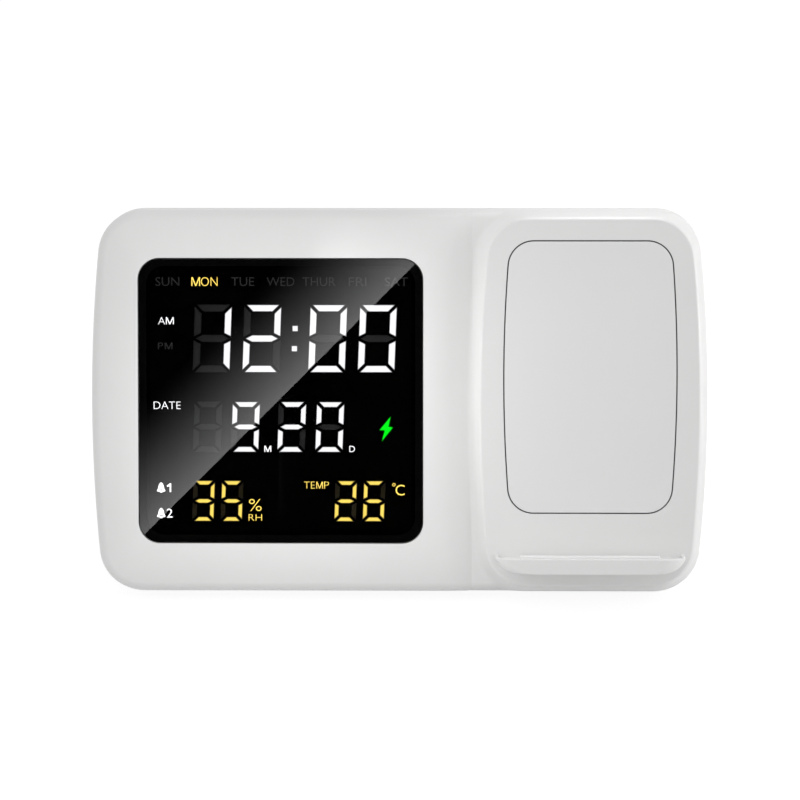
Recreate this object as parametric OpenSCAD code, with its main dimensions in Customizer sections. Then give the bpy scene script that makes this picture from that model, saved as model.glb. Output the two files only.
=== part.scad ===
// Wireless charging bedside clock: a leaning two-shell body with a square LED
// display on the left and a raised phone charging module on the right.
// Millimetres. +Z is up, the face looks to -Y and the feet rest on z = 0.
// On the face, u runs right, v runs up the lean and w runs out of the face.

/* [Body] */
// Width of the whole body
body_w = 190; // [188:1:200]
// Height of the body, measured up the leaning face
body_h = 118; // [116:1:126]
// Lean of the face back from the vertical, in degrees
lean_deg = 18; // [14:1:20]
// Thickness of the body at its top edge, measured level
top_depth = 21.5; // [21:0.5:30]
// Corner radius of the outline
corner_r = 14; // [10:1:16]
// Radius of the slight outward bow of the left and right sides
side_bow_r = 470; // [350:10:900]
// Wall thickness of both shells
wall = 2.2; // [1.8:0.1:2.4]
// Depth of the front shell, from the window plane back to the joint
front_depth = 14; // [13.5:0.5:15]
// Radius of the front edge
front_edge_r = 3; // [2:0.25:3.5]
// Radius of the rear edge
rear_edge_r = 5; // [3:0.5:6]
// Fall of the soft bezel from the window to the edge of the body
crown_drop = 4; // [3:0.25:4.5]
// Thickness of the locating tongue at the joint of the shells
tongue_t = 1; // [0.8:0.1:1.2]
// Reach of the locating tongue into the front shell
tongue_h = 2; // [1:0.25:3]
// Width of the solid edge round the hollow behind the display
display_edge = 6; // [5.5:0.25:6.5]
// Width of the solid edge at the sides of the hollow in the module
module_side = 4.5; // [4.25:0.25:5.5]
// Width of the solid edge at the ends of the hollow in the module
module_end = 7; // [6.5:0.25:8]

/* [Display] */
// Width of the display window
window_w = 87.4; // [84:0.2:90]
// Height of the display window
window_h = 87.6; // [84:0.2:90]
// Corner radius of the window
window_r = 6.5; // [4:0.5:9]
// Thickness of the window
window_t = 2; // [1.5:0.1:2.5]
// Thickness of the tape that holds the window
tape_t = 0.2; // [0.1:0.05:0.4]
// Height of the middle of the window above the middle of the face
window_rise = 0.35; // [0:0.05:0.8]
// Width of the bezel left of the window
bezel_w = 15; // [14.2:0.1:17]
// Width of the flange behind the edge of the window
flange_w = 2.5; // [2:0.25:3.5]
// Thickness of that flange
flange_t = 1.6; // [1.2:0.1:2]
// Air gap between the window and the face of the segment reflector
reflector_gap = 0.4; // [0.3:0.1:1]
// Thickness of the segment reflector
reflector_t = 7.6; // [7:0.1:8]
// Depth of the segment diffusers
segment_t = 3; // [2:0.25:5]
// Gap between neighbouring segments of a digit
segment_gap = 0.55; // [0.3:0.05:0.6]
// Slant of the digits, in degrees
digit_slant = 2.2; // [0:0.2:6]
// Height of the time digits
time_digit_h = 20.9; // [18:0.1:22]
// Width of the time digits
time_digit_w = 11.5; // [10:0.1:13]
// Stroke of the time digits
time_stroke = 2.2; // [1.8:0.1:2.6]
// Height of the time row above the middle of the window
time_row = 19.15; // [17:0.05:21]
// Middle of the first time digit from the middle of the window
time_left = -21.05; // [-22:0.05:-20]
// Spacing of a pair of time digits
time_pitch = 15.25; // [14.5:0.05:16]
// Spacing across the colon
colon_pitch = 20.25; // [19.5:0.05:21]
// Side of each colon dot
colon_side = 1.9; // [1.5:0.1:2.5]
// Spacing of the two colon dots
colon_spread = 6.2; // [5:0.1:8]
// Height of the date digits
date_digit_h = 15.6; // [13:0.1:16]
// Width of the date digits
date_digit_w = 8.6; // [7:0.1:9.5]
// Stroke of the date digits
date_stroke = 1.75; // [1.4:0.05:2]
// Height of the date row above the middle of the window
date_row = -8.1; // [-9:0.05:-7]
// Middle of the first date digit from the middle of the window
date_left = -22.6; // [-24:0.05:-21]
// Spacing of a pair of date digits
date_pitch = 11.7; // [11:0.05:12.5]
// Spacing between the month and the day
month_pitch = 14.25; // [13:0.05:15]
// Height of the humidity and temperature digits
climate_digit_h = 12.6; // [10:0.1:14]
// Width of the humidity and temperature digits
climate_digit_w = 6.7; // [6:0.1:7.5]
// Stroke of the humidity and temperature digits
climate_stroke = 1.4; // [1.1:0.05:1.6]
// Height of the humidity and temperature row
climate_row = -31; // [-32:0.05:-29]
// Spacing of a pair of humidity or temperature digits
climate_pitch = 8.75; // [8.4:0.05:9.2]
// Middle of the first humidity digit from the middle of the window
humidity_left = -23.9; // [-26:0.05:-22]
// Middle of the first temperature digit from the middle of the window
temperature_left = 19.9; // [18:0.05:21]
// Overlap of the display board past the window on each side
led_board_rim = 2; // [1.5:0.1:2.5]
// Thickness of the display and main boards
board_t = 1.6; // [1.2:0.1:2]
// Side of each LED chip
led_side = 0.8; // [0.6:0.1:1]

/* [Charging module] */
// Width of the raised module, from the valley to the right edge
module_w = 74.5; // [72:0.5:76]
// Height of the face of the module above the window plane
module_proud = 2; // [1:0.25:3]
// Width of the flank, from the valley to the flat face
flank_w = 5; // [4.5:0.25:6]
// Width of the hollow root of the flank
root_w = 3.5; // [2.5:0.25:4]
// Width of the charging panel
panel_w = 52.6; // [50:0.1:56]
// Height of the charging panel
panel_h = 83.2; // [78:0.1:88]
// Corner radius of the charging panel
panel_r = 7.7; // [5:0.1:12]
// Thickness of the charging panel
panel_t = 1.2; // [1:0.1:1.5]
// Seam round the charging panel
panel_seam = 0.4; // [0.3:0.05:0.6]
// Distance of the panel below the top edge of the body
panel_drop = 9.5; // [8.5:0.05:12]
// Thickness of the module wall behind the panel
floor_t = 1.4; // [1.2:0.1:1.8]
// Distance of the middle of the coil below the top edge of the body
coil_drop = 40.35; // [38:0.05:43]
// Inner radius of the charging coil
coil_inner_r = 10.5; // [8:0.5:12]
// Outer radius of the charging coil
coil_outer_r = 22; // [19:0.5:22.5]
// Thickness of the charging coil
coil_t = 1.3; // [1:0.1:1.6]
// Number of turns of the coil
coil_turns = 10; // [8:1:12]
// Side of the ferrite sheet
ferrite_side = 46; // [45.5:0.5:46.5]
// Thickness of the ferrite sheet
ferrite_t = 1; // [0.6:0.1:1.5]
// Radius of the coil leads
lead_r = 0.6; // [0.4:0.1:0.8]
// Width of the charger board
charger_board_w = 60; // [58:0.5:61]
// Height of the charger board
charger_board_h = 40; // [36:1:44]
// Drop of the middle of the charger board below the coil
charger_board_drop = 22; // [18:0.5:26]
// Thickness of the charger board
charger_board_t = 1.2; // [1:0.1:1.6]
// Height of the posts under the charger board
charger_post_h = 9.4; // [8:0.2:10]

/* [Phone ledge] */
// Width of the ledge
ledge_w = 58.8; // [52:0.2:60]
// Reach of the ledge out of the module face
ledge_depth = 14; // [10:0.5:16]
// Thickness of the ledge at its lip
ledge_t = 4.7; // [4.2:0.1:5.5]
// Height of the shelf above the bottom edge of the body, up the face
ledge_v = 12.45; // [12:0.05:14]
// Radius of the lower corners, seen from the front
ledge_end_r = 6.5; // [6:0.25:9]
// Radius of the front corners, seen from above
ledge_plan_r = 6.5; // [4:0.25:8]
// Depth of the tray in the shelf
tray_depth = 1; // [0.6:0.1:1.4]
// Thickness of the lip round the tray
lip_t = 1.4; // [1:0.1:2]
// Width of the cushion strip
strip_w = 43; // [30:1:46]
// Depth of the cushion strip
strip_d = 3.5; // [2.5:0.25:5]
// Thickness of the cushion strip
strip_t = 1.3; // [1:0.1:1.6]
// Depth of the groove that seats the strip
strip_seat = 0.5; // [0.3:0.1:0.7]
// Distance of the strip from the module face
strip_back = 1; // [0.5:0.1:2]
// Radius of the ledge's fixing pins
ledge_pin_r = 1.7; // [1.6:0.1:1.8]
// Spacing of the fixing pins
ledge_pin_pitch = 36; // [28:1:40]

/* [Rear] */
// Width of each push button
button_w = 8; // [6:0.5:9]
// Height of each push button
button_h = 5; // [4:0.25:6]
// Height of the buttons above the rear wall
button_proud = 1; // [0.8:0.1:1.6]
// Travel of the buttons
button_travel = 0.6; // [0.4:0.05:0.7]
// Spacing of the buttons
button_pitch = 14; // [13:0.5:15]
// Height of the button row above the table
button_z = 47; // [45:0.5:50]
// Overlap of the button flange past the cap
button_flange = 1.2; // [0.8:0.1:1.5]
// Thickness of the button flange
button_flange_t = 1; // [0.8:0.1:1.4]
// Radius of the switch plungers
plunger_r = 1.7; // [1.4:0.1:2]
// Height of the plungers above the switches
plunger_proud = 1; // [0.9:0.1:1.3]
// Length of the plungers
plunger_l = 3; // [2.4:0.1:3.2]
// Side of each switch
switch_side = 6; // [5.5:0.1:6.5]
// Height of each switch
switch_h = 4.3; // [4.2:0.1:5]
// Width of the main board
main_board_w = 82; // [80:0.5:84]
// Height of the main board
main_board_h = 46; // [45:0.5:48]
// Height of the middle of the main board above the table
main_board_z = 35; // [34:0.5:37]
// Inset of the board posts from the corners of the main board
board_post_inset = 4.2; // [4:0.1:4.6]
// Width of the power inlet
usb_w = 8.94; // [8.9:0.02:9.1]
// Height of the power inlet
usb_h = 3.26; // [3.2:0.02:3.4]
// Wall of the power inlet
usb_wall = 0.3; // [0.25:0.05:0.4]
// Height of the power inlet above the table
usb_z = 22; // [19:0.5:25]
// Depth of the mouth of the inlet below the rear wall
usb_inset = 0.4; // [0.2:0.1:0.8]
// Width of the tongue of the inlet
usb_tongue_w = 6.7; // [6.4:0.1:7]
// Thickness of the tongue of the inlet
usb_tongue_t = 0.7; // [0.6:0.05:0.8]
// Radius of the buzzer
buzzer_r = 4.5; // [4:0.25:5]
// Height of the buzzer
buzzer_h = 5; // [4:0.25:5.5]
// Distance of the buzzer from the middle, seen from behind
buzzer_x = 20; // [17:0.5:23]
// Radius of each sound hole
sound_hole_r = 0.75; // [0.5:0.05:1]
// Radius of the ring of sound holes
sound_ring_r = 2.6; // [2:0.1:3.2]
// Distance of the climate sensor from the middle, seen from behind
sensor_x = -22; // [-25:0.5:-19]
// Side of the climate sensor
sensor_side = 3; // [2.5:0.1:4]
// Length of each sensor slot
sensor_slot_l = 8; // [6:0.5:9]
// Width of each sensor slot
sensor_slot_w = 1.2; // [0.8:0.1:1.5]
// Spacing of the sensor slots
sensor_slot_pitch = 2.2; // [2:0.1:2.6]
// Distance of the cell door from the middle, seen from behind
door_x = 62; // [61:0.5:64]
// Height of the cell door above the table
door_z = 34; // [30:0.5:50]
// Radius of the cell door
door_r = 12.6; // [12:0.1:13]
// Reach of the locking lugs past the door
lug_reach = 1.4; // [1:0.1:1.6]
// Thickness of the locking lugs
lug_t = 1.2; // [1:0.1:1.5]
// Width of the locking lugs
lug_w = 7; // [5:0.5:8]
// Turn of the door from locked to free, in degrees
door_turn = 60; // [50:5:80]
// Width of the coin slot
coin_slot_w = 1.8; // [1.5:0.1:2.2]
// Depth of the coin slot
coin_slot_d = 1.2; // [0.8:0.1:1.4]
// Wall of the cup that holds the backup cell
cup_wall = 1.6; // [1.2:0.1:2]
// Radius of the backup cell
cell_r = 10; // [9.9:0.1:10.1]
// Thickness of the backup cell
cell_t = 3.2; // [3:0.1:3.3]
// Thickness of the cell contacts
contact_t = 0.3; // [0.2:0.05:0.4]
// Number of cooling slots
vent_count = 7; // [5:1:8]
// Width of each cooling slot
vent_w = 1.8; // [1.4:0.1:2.2]
// Length of each cooling slot
vent_l = 24; // [18:1:28]
// Spacing of the cooling slots
vent_pitch = 4.5; // [4:0.25:5]
// Distance of the cooling slots from the middle, seen from behind
vent_x = -62; // [-65:0.5:-61]
// Height of the middle of the cooling slots above the table
vent_z = 42; // [38:1:60]

/* [Base] */
// Radius of the rubber feet
foot_r = 6; // [5:0.5:7]
// Height of the base above the table
foot_proud = 1.5; // [1:0.25:2.5]
// Depth of the seat of each foot
foot_seat = 1; // [0.6:0.1:1.2]
// Spacing of the feet from left to right
foot_pitch = 140; // [120:2:146]
// Distance of the front feet behind the joint of the shells
foot_front = 8; // [7.5:0.5:10]
// Distance of the rear feet before the rear wall
foot_rear = 13; // [12:0.5:16]

/* [Board parts and cables] */
// Side of the choke on the charger board
choke_side = 8; // [6:0.5:9]
// Height of the choke
choke_h = 4; // [3:0.25:5]
// Distance of the choke and the chips above the middle of the charger board
choke_rise = 7; // [6:0.25:8]
// Distance of the choke right of the middle of the charger board
choke_x = 12; // [11:0.5:14]
// Side of the charger chips
chip_side = 6; // [5:0.25:6.5]
// Thickness of the charger chips
chip_t = 1; // [0.8:0.1:1.4]
// Spacing of the charger chips
chip_pitch = 14; // [12:0.5:15]
// Radius of the capacitors
capacitor_r = 3.2; // [2.5:0.1:3.4]
// Height of the capacitors
capacitor_h = 5.5; // [4:0.25:6]
// Spacing of the capacitors
capacitor_pitch = 8; // [7.5:0.25:9]
// Side of the controller chip on the main board
controller_side = 9; // [7:0.5:10]
// Thickness of the controller chip
controller_t = 1.4; // [1:0.1:1.6]
// Distance of the controller chip from the middle of the main board
controller_x = 8; // [7:0.5:9]
// Length of the crystal beside the controller chip
crystal_l = 7; // [5:0.5:8]
// Width of the crystal
crystal_w = 3; // [2.5:0.25:4]
// Height of the crystal
crystal_h = 2.5; // [2:0.25:3]
// Distance of the crystal below the middle of the main board
crystal_drop = 12; // [11:0.5:14]
// Width of the display cable
display_cable_w = 12; // [9:0.5:14]
// Distance of the display cable left of the middle
display_cable_x = 26; // [22:0.5:30]
// Height of the display cable up the face
display_cable_v = 40; // [36:0.5:44]
// Thickness of the display cable
display_cable_t = 0.8; // [0.6:0.1:1.2]
// Width of the charger cable
charger_cable_w = 4; // [3:0.25:5]
// Distance of the charger cable from the edge of the charger board
charger_cable_inset = 7; // [6:0.25:8]
// Distance of the charger cable below the middle of the charger board
charger_cable_drop = 12; // [10:0.5:14]
// Thickness of the charger cable
charger_cable_t = 1.6; // [1.2:0.1:2]
// Height of the cable plugs above the boards
plug_h = 3; // [2.5:0.1:4]
// Length of the cable plugs up the board
plug_l = 5; // [4:0.25:6]
// Overlap of the plugs past the cable on each side
plug_rim = 1; // [0.5:0.25:1.5]
// Height of the display plug above the middle of the main board
display_plug_rise = 5; // [3:0.5:7]
// Height of the charger plug above the middle of the main board
charger_plug_rise = 8; // [6:0.5:10]
// Sag of the cables
cable_sag = 6; // [4:0.5:8]

/* [Fasteners and fits] */
// Shank radius of the shell screws
shell_screw_r = 1.3; // [1.2:0.05:1.4]
// Head radius of the shell screws
shell_head_r = 2.6; // [2.4:0.1:2.8]
// Head height of the shell screws
shell_head_h = 2; // [1.6:0.1:2.4]
// Length of the shell screws under the head
shell_screw_l = 10; // [9:0.5:10.5]
// Thickness of the seat under the shell screws
screw_seat_t = 3; // [2.5:0.25:4]
// Shank radius of the board screws
board_screw_r = 0.9; // [0.8:0.05:1]
// Head radius of the board screws
board_head_r = 1.9; // [1.6:0.1:2]
// Head height of the board screws
board_head_h = 1.3; // [1:0.1:1.4]
// Length of the board screws under the head
board_screw_l = 6; // [5:0.25:6.5]
// Radius of the posts that take the board screws
board_post_r = 2.4; // [2.2:0.1:2.5]
// Radius of the posts that take the shell screws
shell_post_r = 3.2; // [3:0.1:3.3]
// Wall of the wells of the shell screws
well_wall = 1.8; // [1.4:0.1:2.2]
// Distance of the right shell screws from the right edge of the body
post_side = 9; // [8.75:0.25:9.25]
// Distance of the upper shell screws below the top edge of the body
post_drop = 18; // [17:0.5:20]
// Gap between the charger board and the posts of the lower shell screws
post_gap = 3; // [2:0.25:4]
// Margin of a board past its screw posts
board_edge = 0.6; // [0.4:0.1:1]
// Clearance of fixed fits, on each side
fit = 0.15; // [0.1:0.05:0.25]
// Clearance of sliding and turning fits, on each side
slide_fit = 0.25; // [0.2:0.05:0.35]
// Clearance round the screw shanks
screw_fit = 0.05; // [0.03:0.01:0.08]

/* [Hidden] */
// Names of the sub-parts
$fn = 40;

// The leaning face in the row frame
ledge_front = module_proud + ledge_depth;
overhang = ledge_front * cos(lean_deg) - (ledge_v - ledge_t) * sin(lean_deg);
base_depth = body_h * sin(lean_deg) + top_depth;
face_y = (overhang - base_depth - button_proud) / 2;
face_z = foot_proud + front_depth * sin(lean_deg);
rear_y = face_y + base_depth;
joint_y = face_y + front_depth * cos(lean_deg);
joint_top_y = joint_y + body_h * sin(lean_deg);
joint_top_z = foot_proud + body_h * cos(lean_deg);
rear_ring_y = rear_y - rear_edge_r;
rear_top = joint_top_z - (rear_ring_y - joint_top_y) * tan(lean_deg);
rear_mid = (rear_top + foot_proud) / 2;
rear_half = (rear_top - foot_proud) / 2;

// Places on the face
half_w = body_w / 2;
half_h = body_h / 2;
window_u = -half_w + bezel_w + window_w / 2;
window_v = half_h + window_rise;
window_right = window_u + window_w / 2;
valley_u = half_w - module_w;
rim_out = root_w - front_edge_r / 2;
module_u = (valley_u + half_w + rim_out) / 2;
module_half = (half_w + rim_out - valley_u) / 2;
face_left = valley_u + flank_w;
panel_u = (face_left + half_w - front_edge_r) / 2;
panel_v = body_h - panel_drop - panel_h / 2;
crown_end = (body_h - window_h) / 2;

// Depths behind the window plane
flange_front = -(window_t + tape_t);
flange_back = flange_front - flange_t;
reflector_front = -(window_t + reflector_gap);
led_board_front = reflector_front - reflector_t;
led_board_back = led_board_front - board_t;
bezel_ceiling = -(crown_drop + front_edge_r) - 0.2;
module_back = module_proud - panel_t - floor_t;
charger_front = module_back - charger_post_h;
charger_back = charger_front - charger_board_t;

// Display stack
opening_w = window_w - 2 * flange_w;
opening_h = window_h - 2 * flange_w;
reflector_w = opening_w - 4 * slide_fit;
reflector_h = opening_h - 4 * slide_fit;
reflector_r = 4;
led_board_w = window_w + 2 * led_board_rim;
led_board_h = window_h + 2 * led_board_rim;
led_post_u = led_board_w / 2 - board_post_r - board_edge;
led_post_v = led_board_h / 2 - board_post_r - board_edge;

// Charging stack
coil_v = body_h - coil_drop;
charger_v = coil_v - charger_board_drop;
charger_post_u = charger_board_w / 2 - board_post_r - board_edge;
charger_post_v = charger_board_h / 2 - board_post_r - board_edge;
lead_spread = 3;
lead_v = coil_v - coil_outer_r + 2;

// Shell screws: the left pair clears the display board, the right pair the charging stack
post_left = window_u - led_board_w / 2 - 2 * slide_fit - shell_post_r;
post_right = half_w - post_side;
post_low = charger_v - charger_board_h / 2 - post_gap - shell_post_r;
post_high = body_h - post_drop;
shell_posts = [[post_left, post_low], [post_right, post_low],
    [post_left, post_high], [post_right, post_high]];

// Ledge pins sit in the middle of the solid under the tray
ledge_pin_v = ledge_v - tray_depth - (ledge_t - tray_depth) / 2;
ledge_head_r = board_head_r + 0.6;

// The hollow of the module clears the heads of the ledge screws
module_low = min(module_end, ledge_pin_v - ledge_head_r - 2 * slide_fit);

// Rear wall stack, measured out from the rear wall
flange_inner = -(wall + button_flange_t);
switch_top = flange_inner - plunger_proud;
board_back = switch_top - switch_h;
board_front = board_back - board_t;
board_post_x = main_board_w / 2 - board_post_inset;
board_post_z = main_board_h / 2 - board_post_inset;
buzzer_z = usb_z;
sensor_z = usb_z;
door_back = -(wall + 2 * slide_fit + lug_t);
lug_r = door_r + lug_reach;
cup_r = lug_r + slide_fit;
cup_wall_r = cup_r + cup_wall;
cell_zone = door_back - slide_fit;
cell_floor = cell_zone - contact_t - cell_t - slide_fit;
cup_back = cell_floor - cup_wall;

// Frame helpers
module face_frame() {
    translate([0, face_y, face_z]) rotate([90 - lean_deg, 0, 0]) children();
}

// Seen from behind: x runs right, y runs up and z runs out of the rear wall
module rear_frame() {
    translate([0, rear_y, 0]) rotate([90, 0, 180]) children();
}

function on_face(p) = [p[0], face_y + p[1] * sin(lean_deg) - p[2] * cos(lean_deg),
    face_z + p[1] * cos(lean_deg) + p[2] * sin(lean_deg)];

// Where the columns of the front skin close up over the flank of the module
shoulder_u = face_left + corner_r + root_w;
brow_u = face_left + root_w / 3;
hollow_u = valley_u - root_w / 2;
side_steps = 12;
corner_n = 7;

// Outline of the body: arcs for the bowed sides and corners, straight top and bottom
function steps(p, q, n) = [for (i = [1 : n]) p + (q - p) * i / n];
function side_angle(b, r, s) = asin((b - r) / (s - r));
function corner_u(a, b, r, s) = a - s + sqrt(pow(s - r, 2) - pow(b - r, 2));
function side_arc(a, b, r, s) = [for (t = concat([-1], steps(-1, 1, side_steps)))
    let (k = t * side_angle(b, r, s)) [a - s + s * cos(k), s * sin(k)]];
function corner_arc(a, b, r, s) = [for (i = [1 : corner_n])
    let (k = side_angle(b, r, s) + (90 - side_angle(b, r, s)) * i / (corner_n + 1))
    [corner_u(a, b, r, s) + r * cos(k), b - r + r * sin(k)]];
function edge_columns(c) = concat([c], steps(c, shoulder_u, 3), steps(shoulder_u, brow_u, 9),
    steps(brow_u, hollow_u, 14), steps(hollow_u, window_right, 7), steps(window_right, -c, 6));
function upper_half(a, b, r, s) = concat(corner_arc(a, b, r, s),
    [for (u = edge_columns(corner_u(a, b, r, s))) [u, b]],
    [for (i = [corner_n - 1 : -1 : 0]) let (p = corner_arc(a, b, r, s)[i]) [-p[0], p[1]]]);
function ring(a, b, r, s) = let (side = side_arc(a, b, r, s), up = upper_half(a, b, r, s))
    concat(side, up, [for (p = side) -p],
        [for (i = [len(up) - 1 : -1 : 0]) [up[i][0], -up[i][1]]]);
function body_ring(e) = ring(half_w - e, half_h - e, max(corner_r - e, 1), side_bow_r - e);
function rear_ring(e) = ring(half_w - e, rear_half - e, max(corner_r - e, 1), side_bow_r - e);
ring_n = len(body_ring(0));
side_n = len(side_arc(half_w, half_h, corner_r, side_bow_r));
upper_n = len(upper_half(half_w, half_h, corner_r, side_bow_r));

// Faces between rings that run towards the viewer
function ring_faces(count) = [for (k = [0 : count - 2]) for (i = [0 : ring_n - 1])
    let (j = (i + 1) % ring_n, a = k * ring_n, b = a + ring_n)
    for (f = [[a + i, b + i, b + j], [a + i, b + j, a + j]]) f];
function first_cap() = [for (i = [0 : ring_n - 1]) i];
function last_cap(count) = [for (i = [ring_n - 1 : -1 : 0]) (count - 1) * ring_n + i];

module loft(rings) {
    count = len(rings);
    polyhedron(points = [for (r = rings) for (p = r) p],
        faces = concat([first_cap()], ring_faces(count), [last_cap(count)]), convexity = 6);
}

// Height of the front skin over the window plane
function box_gap(x, y, hx, hy, r) = let (qx = abs(x) - hx + r, qy = abs(y) - hy + r)
    min(max(qx, qy), 0) + norm([max(qx, 0), max(qy, 0)]) - r;
function side_bow(v) = side_bow_r - sqrt(pow(side_bow_r, 2) - pow(v - half_h, 2));
function limit(x) = min(1, max(0, x));
function crown(u, v) = let (s = limit((abs(u - window_u) - window_w / 2) / bezel_w),
    t = limit((abs(v - window_v) - window_h / 2) / crown_end))
    -crown_drop * sqrt(pow(s, 4) + pow(t, 4));
function module_inset(u, v) = -box_gap(abs(u - module_u) + side_bow(v), v - half_h,
    module_half, half_h + rim_out, corner_r + rim_out);
function flank(x) = x <= 0 ? 0 : x < root_w ? x * x / (root_w * flank_w) :
    x < flank_w ? 1 - pow(flank_w - x, 2) / (flank_w * (flank_w - root_w)) : 1;
function edge_drop(e) = e >= front_edge_r ? 0 :
    front_edge_r - sqrt(pow(front_edge_r, 2) - pow(front_edge_r - e, 2));
function front_height(u, v, e) = let (c = crown(u, v), s = flank(module_inset(u, v)))
    c + (module_proud - c) * s - edge_drop(e);

// Front skin: rings step in from the edge and a ruled strip closes the middle
module front_skin() {
    insets = concat([for (k = [0 : 6]) front_edge_r * (1 - cos(15 * k))],
        steps(front_edge_r, crown_end + 1, 7));
    back = [for (p = body_ring(0)) [p[0], p[1] + half_h, -front_depth]];
    rings = concat([back], [for (e = insets) [for (p = body_ring(e))
        [p[0], p[1] + half_h, front_height(p[0], p[1] + half_h, e)]]]);
    base = len(insets) * ring_n;
    top = [for (i = [0 : upper_n + 1]) base + side_n - 1 + i];
    low = [for (i = [0 : upper_n + 1]) base + (ring_n - i) % ring_n];
    right_cap = [for (i = [side_n - 1 : -1 : 0]) base + i];
    left_cap = [for (i = [side_n - 1 : -1 : 0]) base + side_n + upper_n + i];
    strip = [for (i = [0 : upper_n])
        for (f = [[top[i], low[i + 1], top[i + 1]], [top[i], low[i], low[i + 1]]]) f];
    polyhedron(points = [for (r = rings) for (p = r) p],
        faces = concat([first_cap()], ring_faces(len(rings)), strip, [right_cap], [left_cap]),
        convexity = 6);
}

// Solid of the rear shell, from the rear wall forward to the joint
module rear_skin() {
    edge = [for (k = [6 : -1 : 0]) let (e = rear_edge_r * (1 - cos(15 * k)))
        [for (p = rear_ring(e)) [p[0], rear_ring_y + rear_edge_r * sin(15 * k),
        p[1] + rear_mid]]];
    joint = [for (p = body_ring(0)) on_face([p[0], p[1] + half_h, -front_depth])];
    loft(concat(edge, [joint]));
}

// Hollow of the rear shell: eased at the rear edge and narrowed at the tongue
module rear_hollow() {
    neck_e = wall + fit + tongue_t;
    back = [for (p = rear_ring(2 * wall)) [p[0], rear_y - wall, p[1] + rear_mid]];
    side = [for (p = rear_ring(wall)) [p[0], rear_y - 2 * wall, p[1] + rear_mid]];
    neck = [for (p = body_ring(neck_e)) on_face([p[0], p[1] + half_h, -front_depth - 1.5 * tongue_t])];
    mouth = [for (p = body_ring(neck_e)) on_face([p[0], p[1] + half_h, tongue_h + 1 - front_depth])];
    loft([back, side, neck, mouth]);
}

// Flat shapes
function arc(x, y, r, from, to, n) = [for (i = [0 : n])
    let (k = from + (to - from) * i / n) [x + r * cos(k), y + r * sin(k)]];
function round_box(w, h, r) = concat(arc(w / 2 - r, h / 2 - r, r, 0, 90, 6),
    arc(r - w / 2, h / 2 - r, r, 90, 180, 6), arc(r - w / 2, r - h / 2, r, 180, 270, 6),
    arc(w / 2 - r, r - h / 2, r, 270, 360, 6));

function bowed_box(w, h, r) = let (side = side_arc(w / 2, h / 2, r, side_bow_r),
    top = corner_arc(w / 2, h / 2, r, side_bow_r), c = corner_u(w / 2, h / 2, r, side_bow_r))
    concat(side, top, [[c, h / 2], [-c, h / 2]], [for (i = [corner_n - 1 : -1 : 0]) [-top[i][0], top[i][1]]],
        -side, -top, [[-c, -h / 2], [c, -h / 2]],
        [for (i = [corner_n - 1 : -1 : 0]) [top[i][0], -top[i][1]]]);

module slab(points, back, front) {
    translate([0, 0, back]) linear_extrude(height = front - back) polygon(points);
}

module body_slab(e, back, front) {
    translate([0, half_h, 0]) slab(body_ring(e), back, front);
}

module pill(w, h, back, front) {
    translate([0, 0, back]) union() {
        translate([h / 2 - w / 2, -h / 2, 0]) cube([w - h, h, front - back]);
        for (s = [-1, 1])
            translate([s * (w - h) / 2, 0, 0]) cylinder(r = h / 2, h = front - back);
    }
}

module rod(r, back, front) {
    translate([0, 0, back]) cylinder(r = r, h = front - back);
}

module block(w, h, back, front) {
    translate([-w / 2, -h / 2, back]) cube([w, h, front - back]);
}

module screw(head_r, head_h, shank_r, shank_l) {
    union() {
        rod(head_r, -head_h, 0);
        rod(shank_r, -0.1, shank_l);
    }
}

module at_window() {
    translate([window_u, window_v, 0]) children();
}

module at_led_posts() {
    at_window() for (x = [-1, 1]) for (y = [-1, 1])
        translate([x * led_post_u, y * led_post_v, 0]) children();
}

module at_charger_posts() {
    for (x = [-1, 1]) for (y = [-1, 1])
        translate([panel_u + x * charger_post_u, charger_v + y * charger_post_v, 0]) children();
}

module at_shell_posts() {
    for (p = shell_posts) translate([p[0], p[1], 0]) children();
}

module at_ledge_pins() {
    for (x = [-1, 1]) translate([panel_u + x * ledge_pin_pitch / 2, ledge_pin_v, 0]) children();
}

module at_board_posts() {
    for (x = [-1, 1]) for (y = [-1, 1])
        translate([x * board_post_x, main_board_z + y * board_post_z, 0]) children();
}

module at_button(k) {
    translate([(k - 2) * button_pitch, button_z, 0]) children();
}

module at_feet() {
    for (x = [-1, 1]) for (y = [joint_y + foot_front, rear_y - foot_rear])
        translate([x * foot_pitch / 2, y, 0]) children();
}

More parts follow.
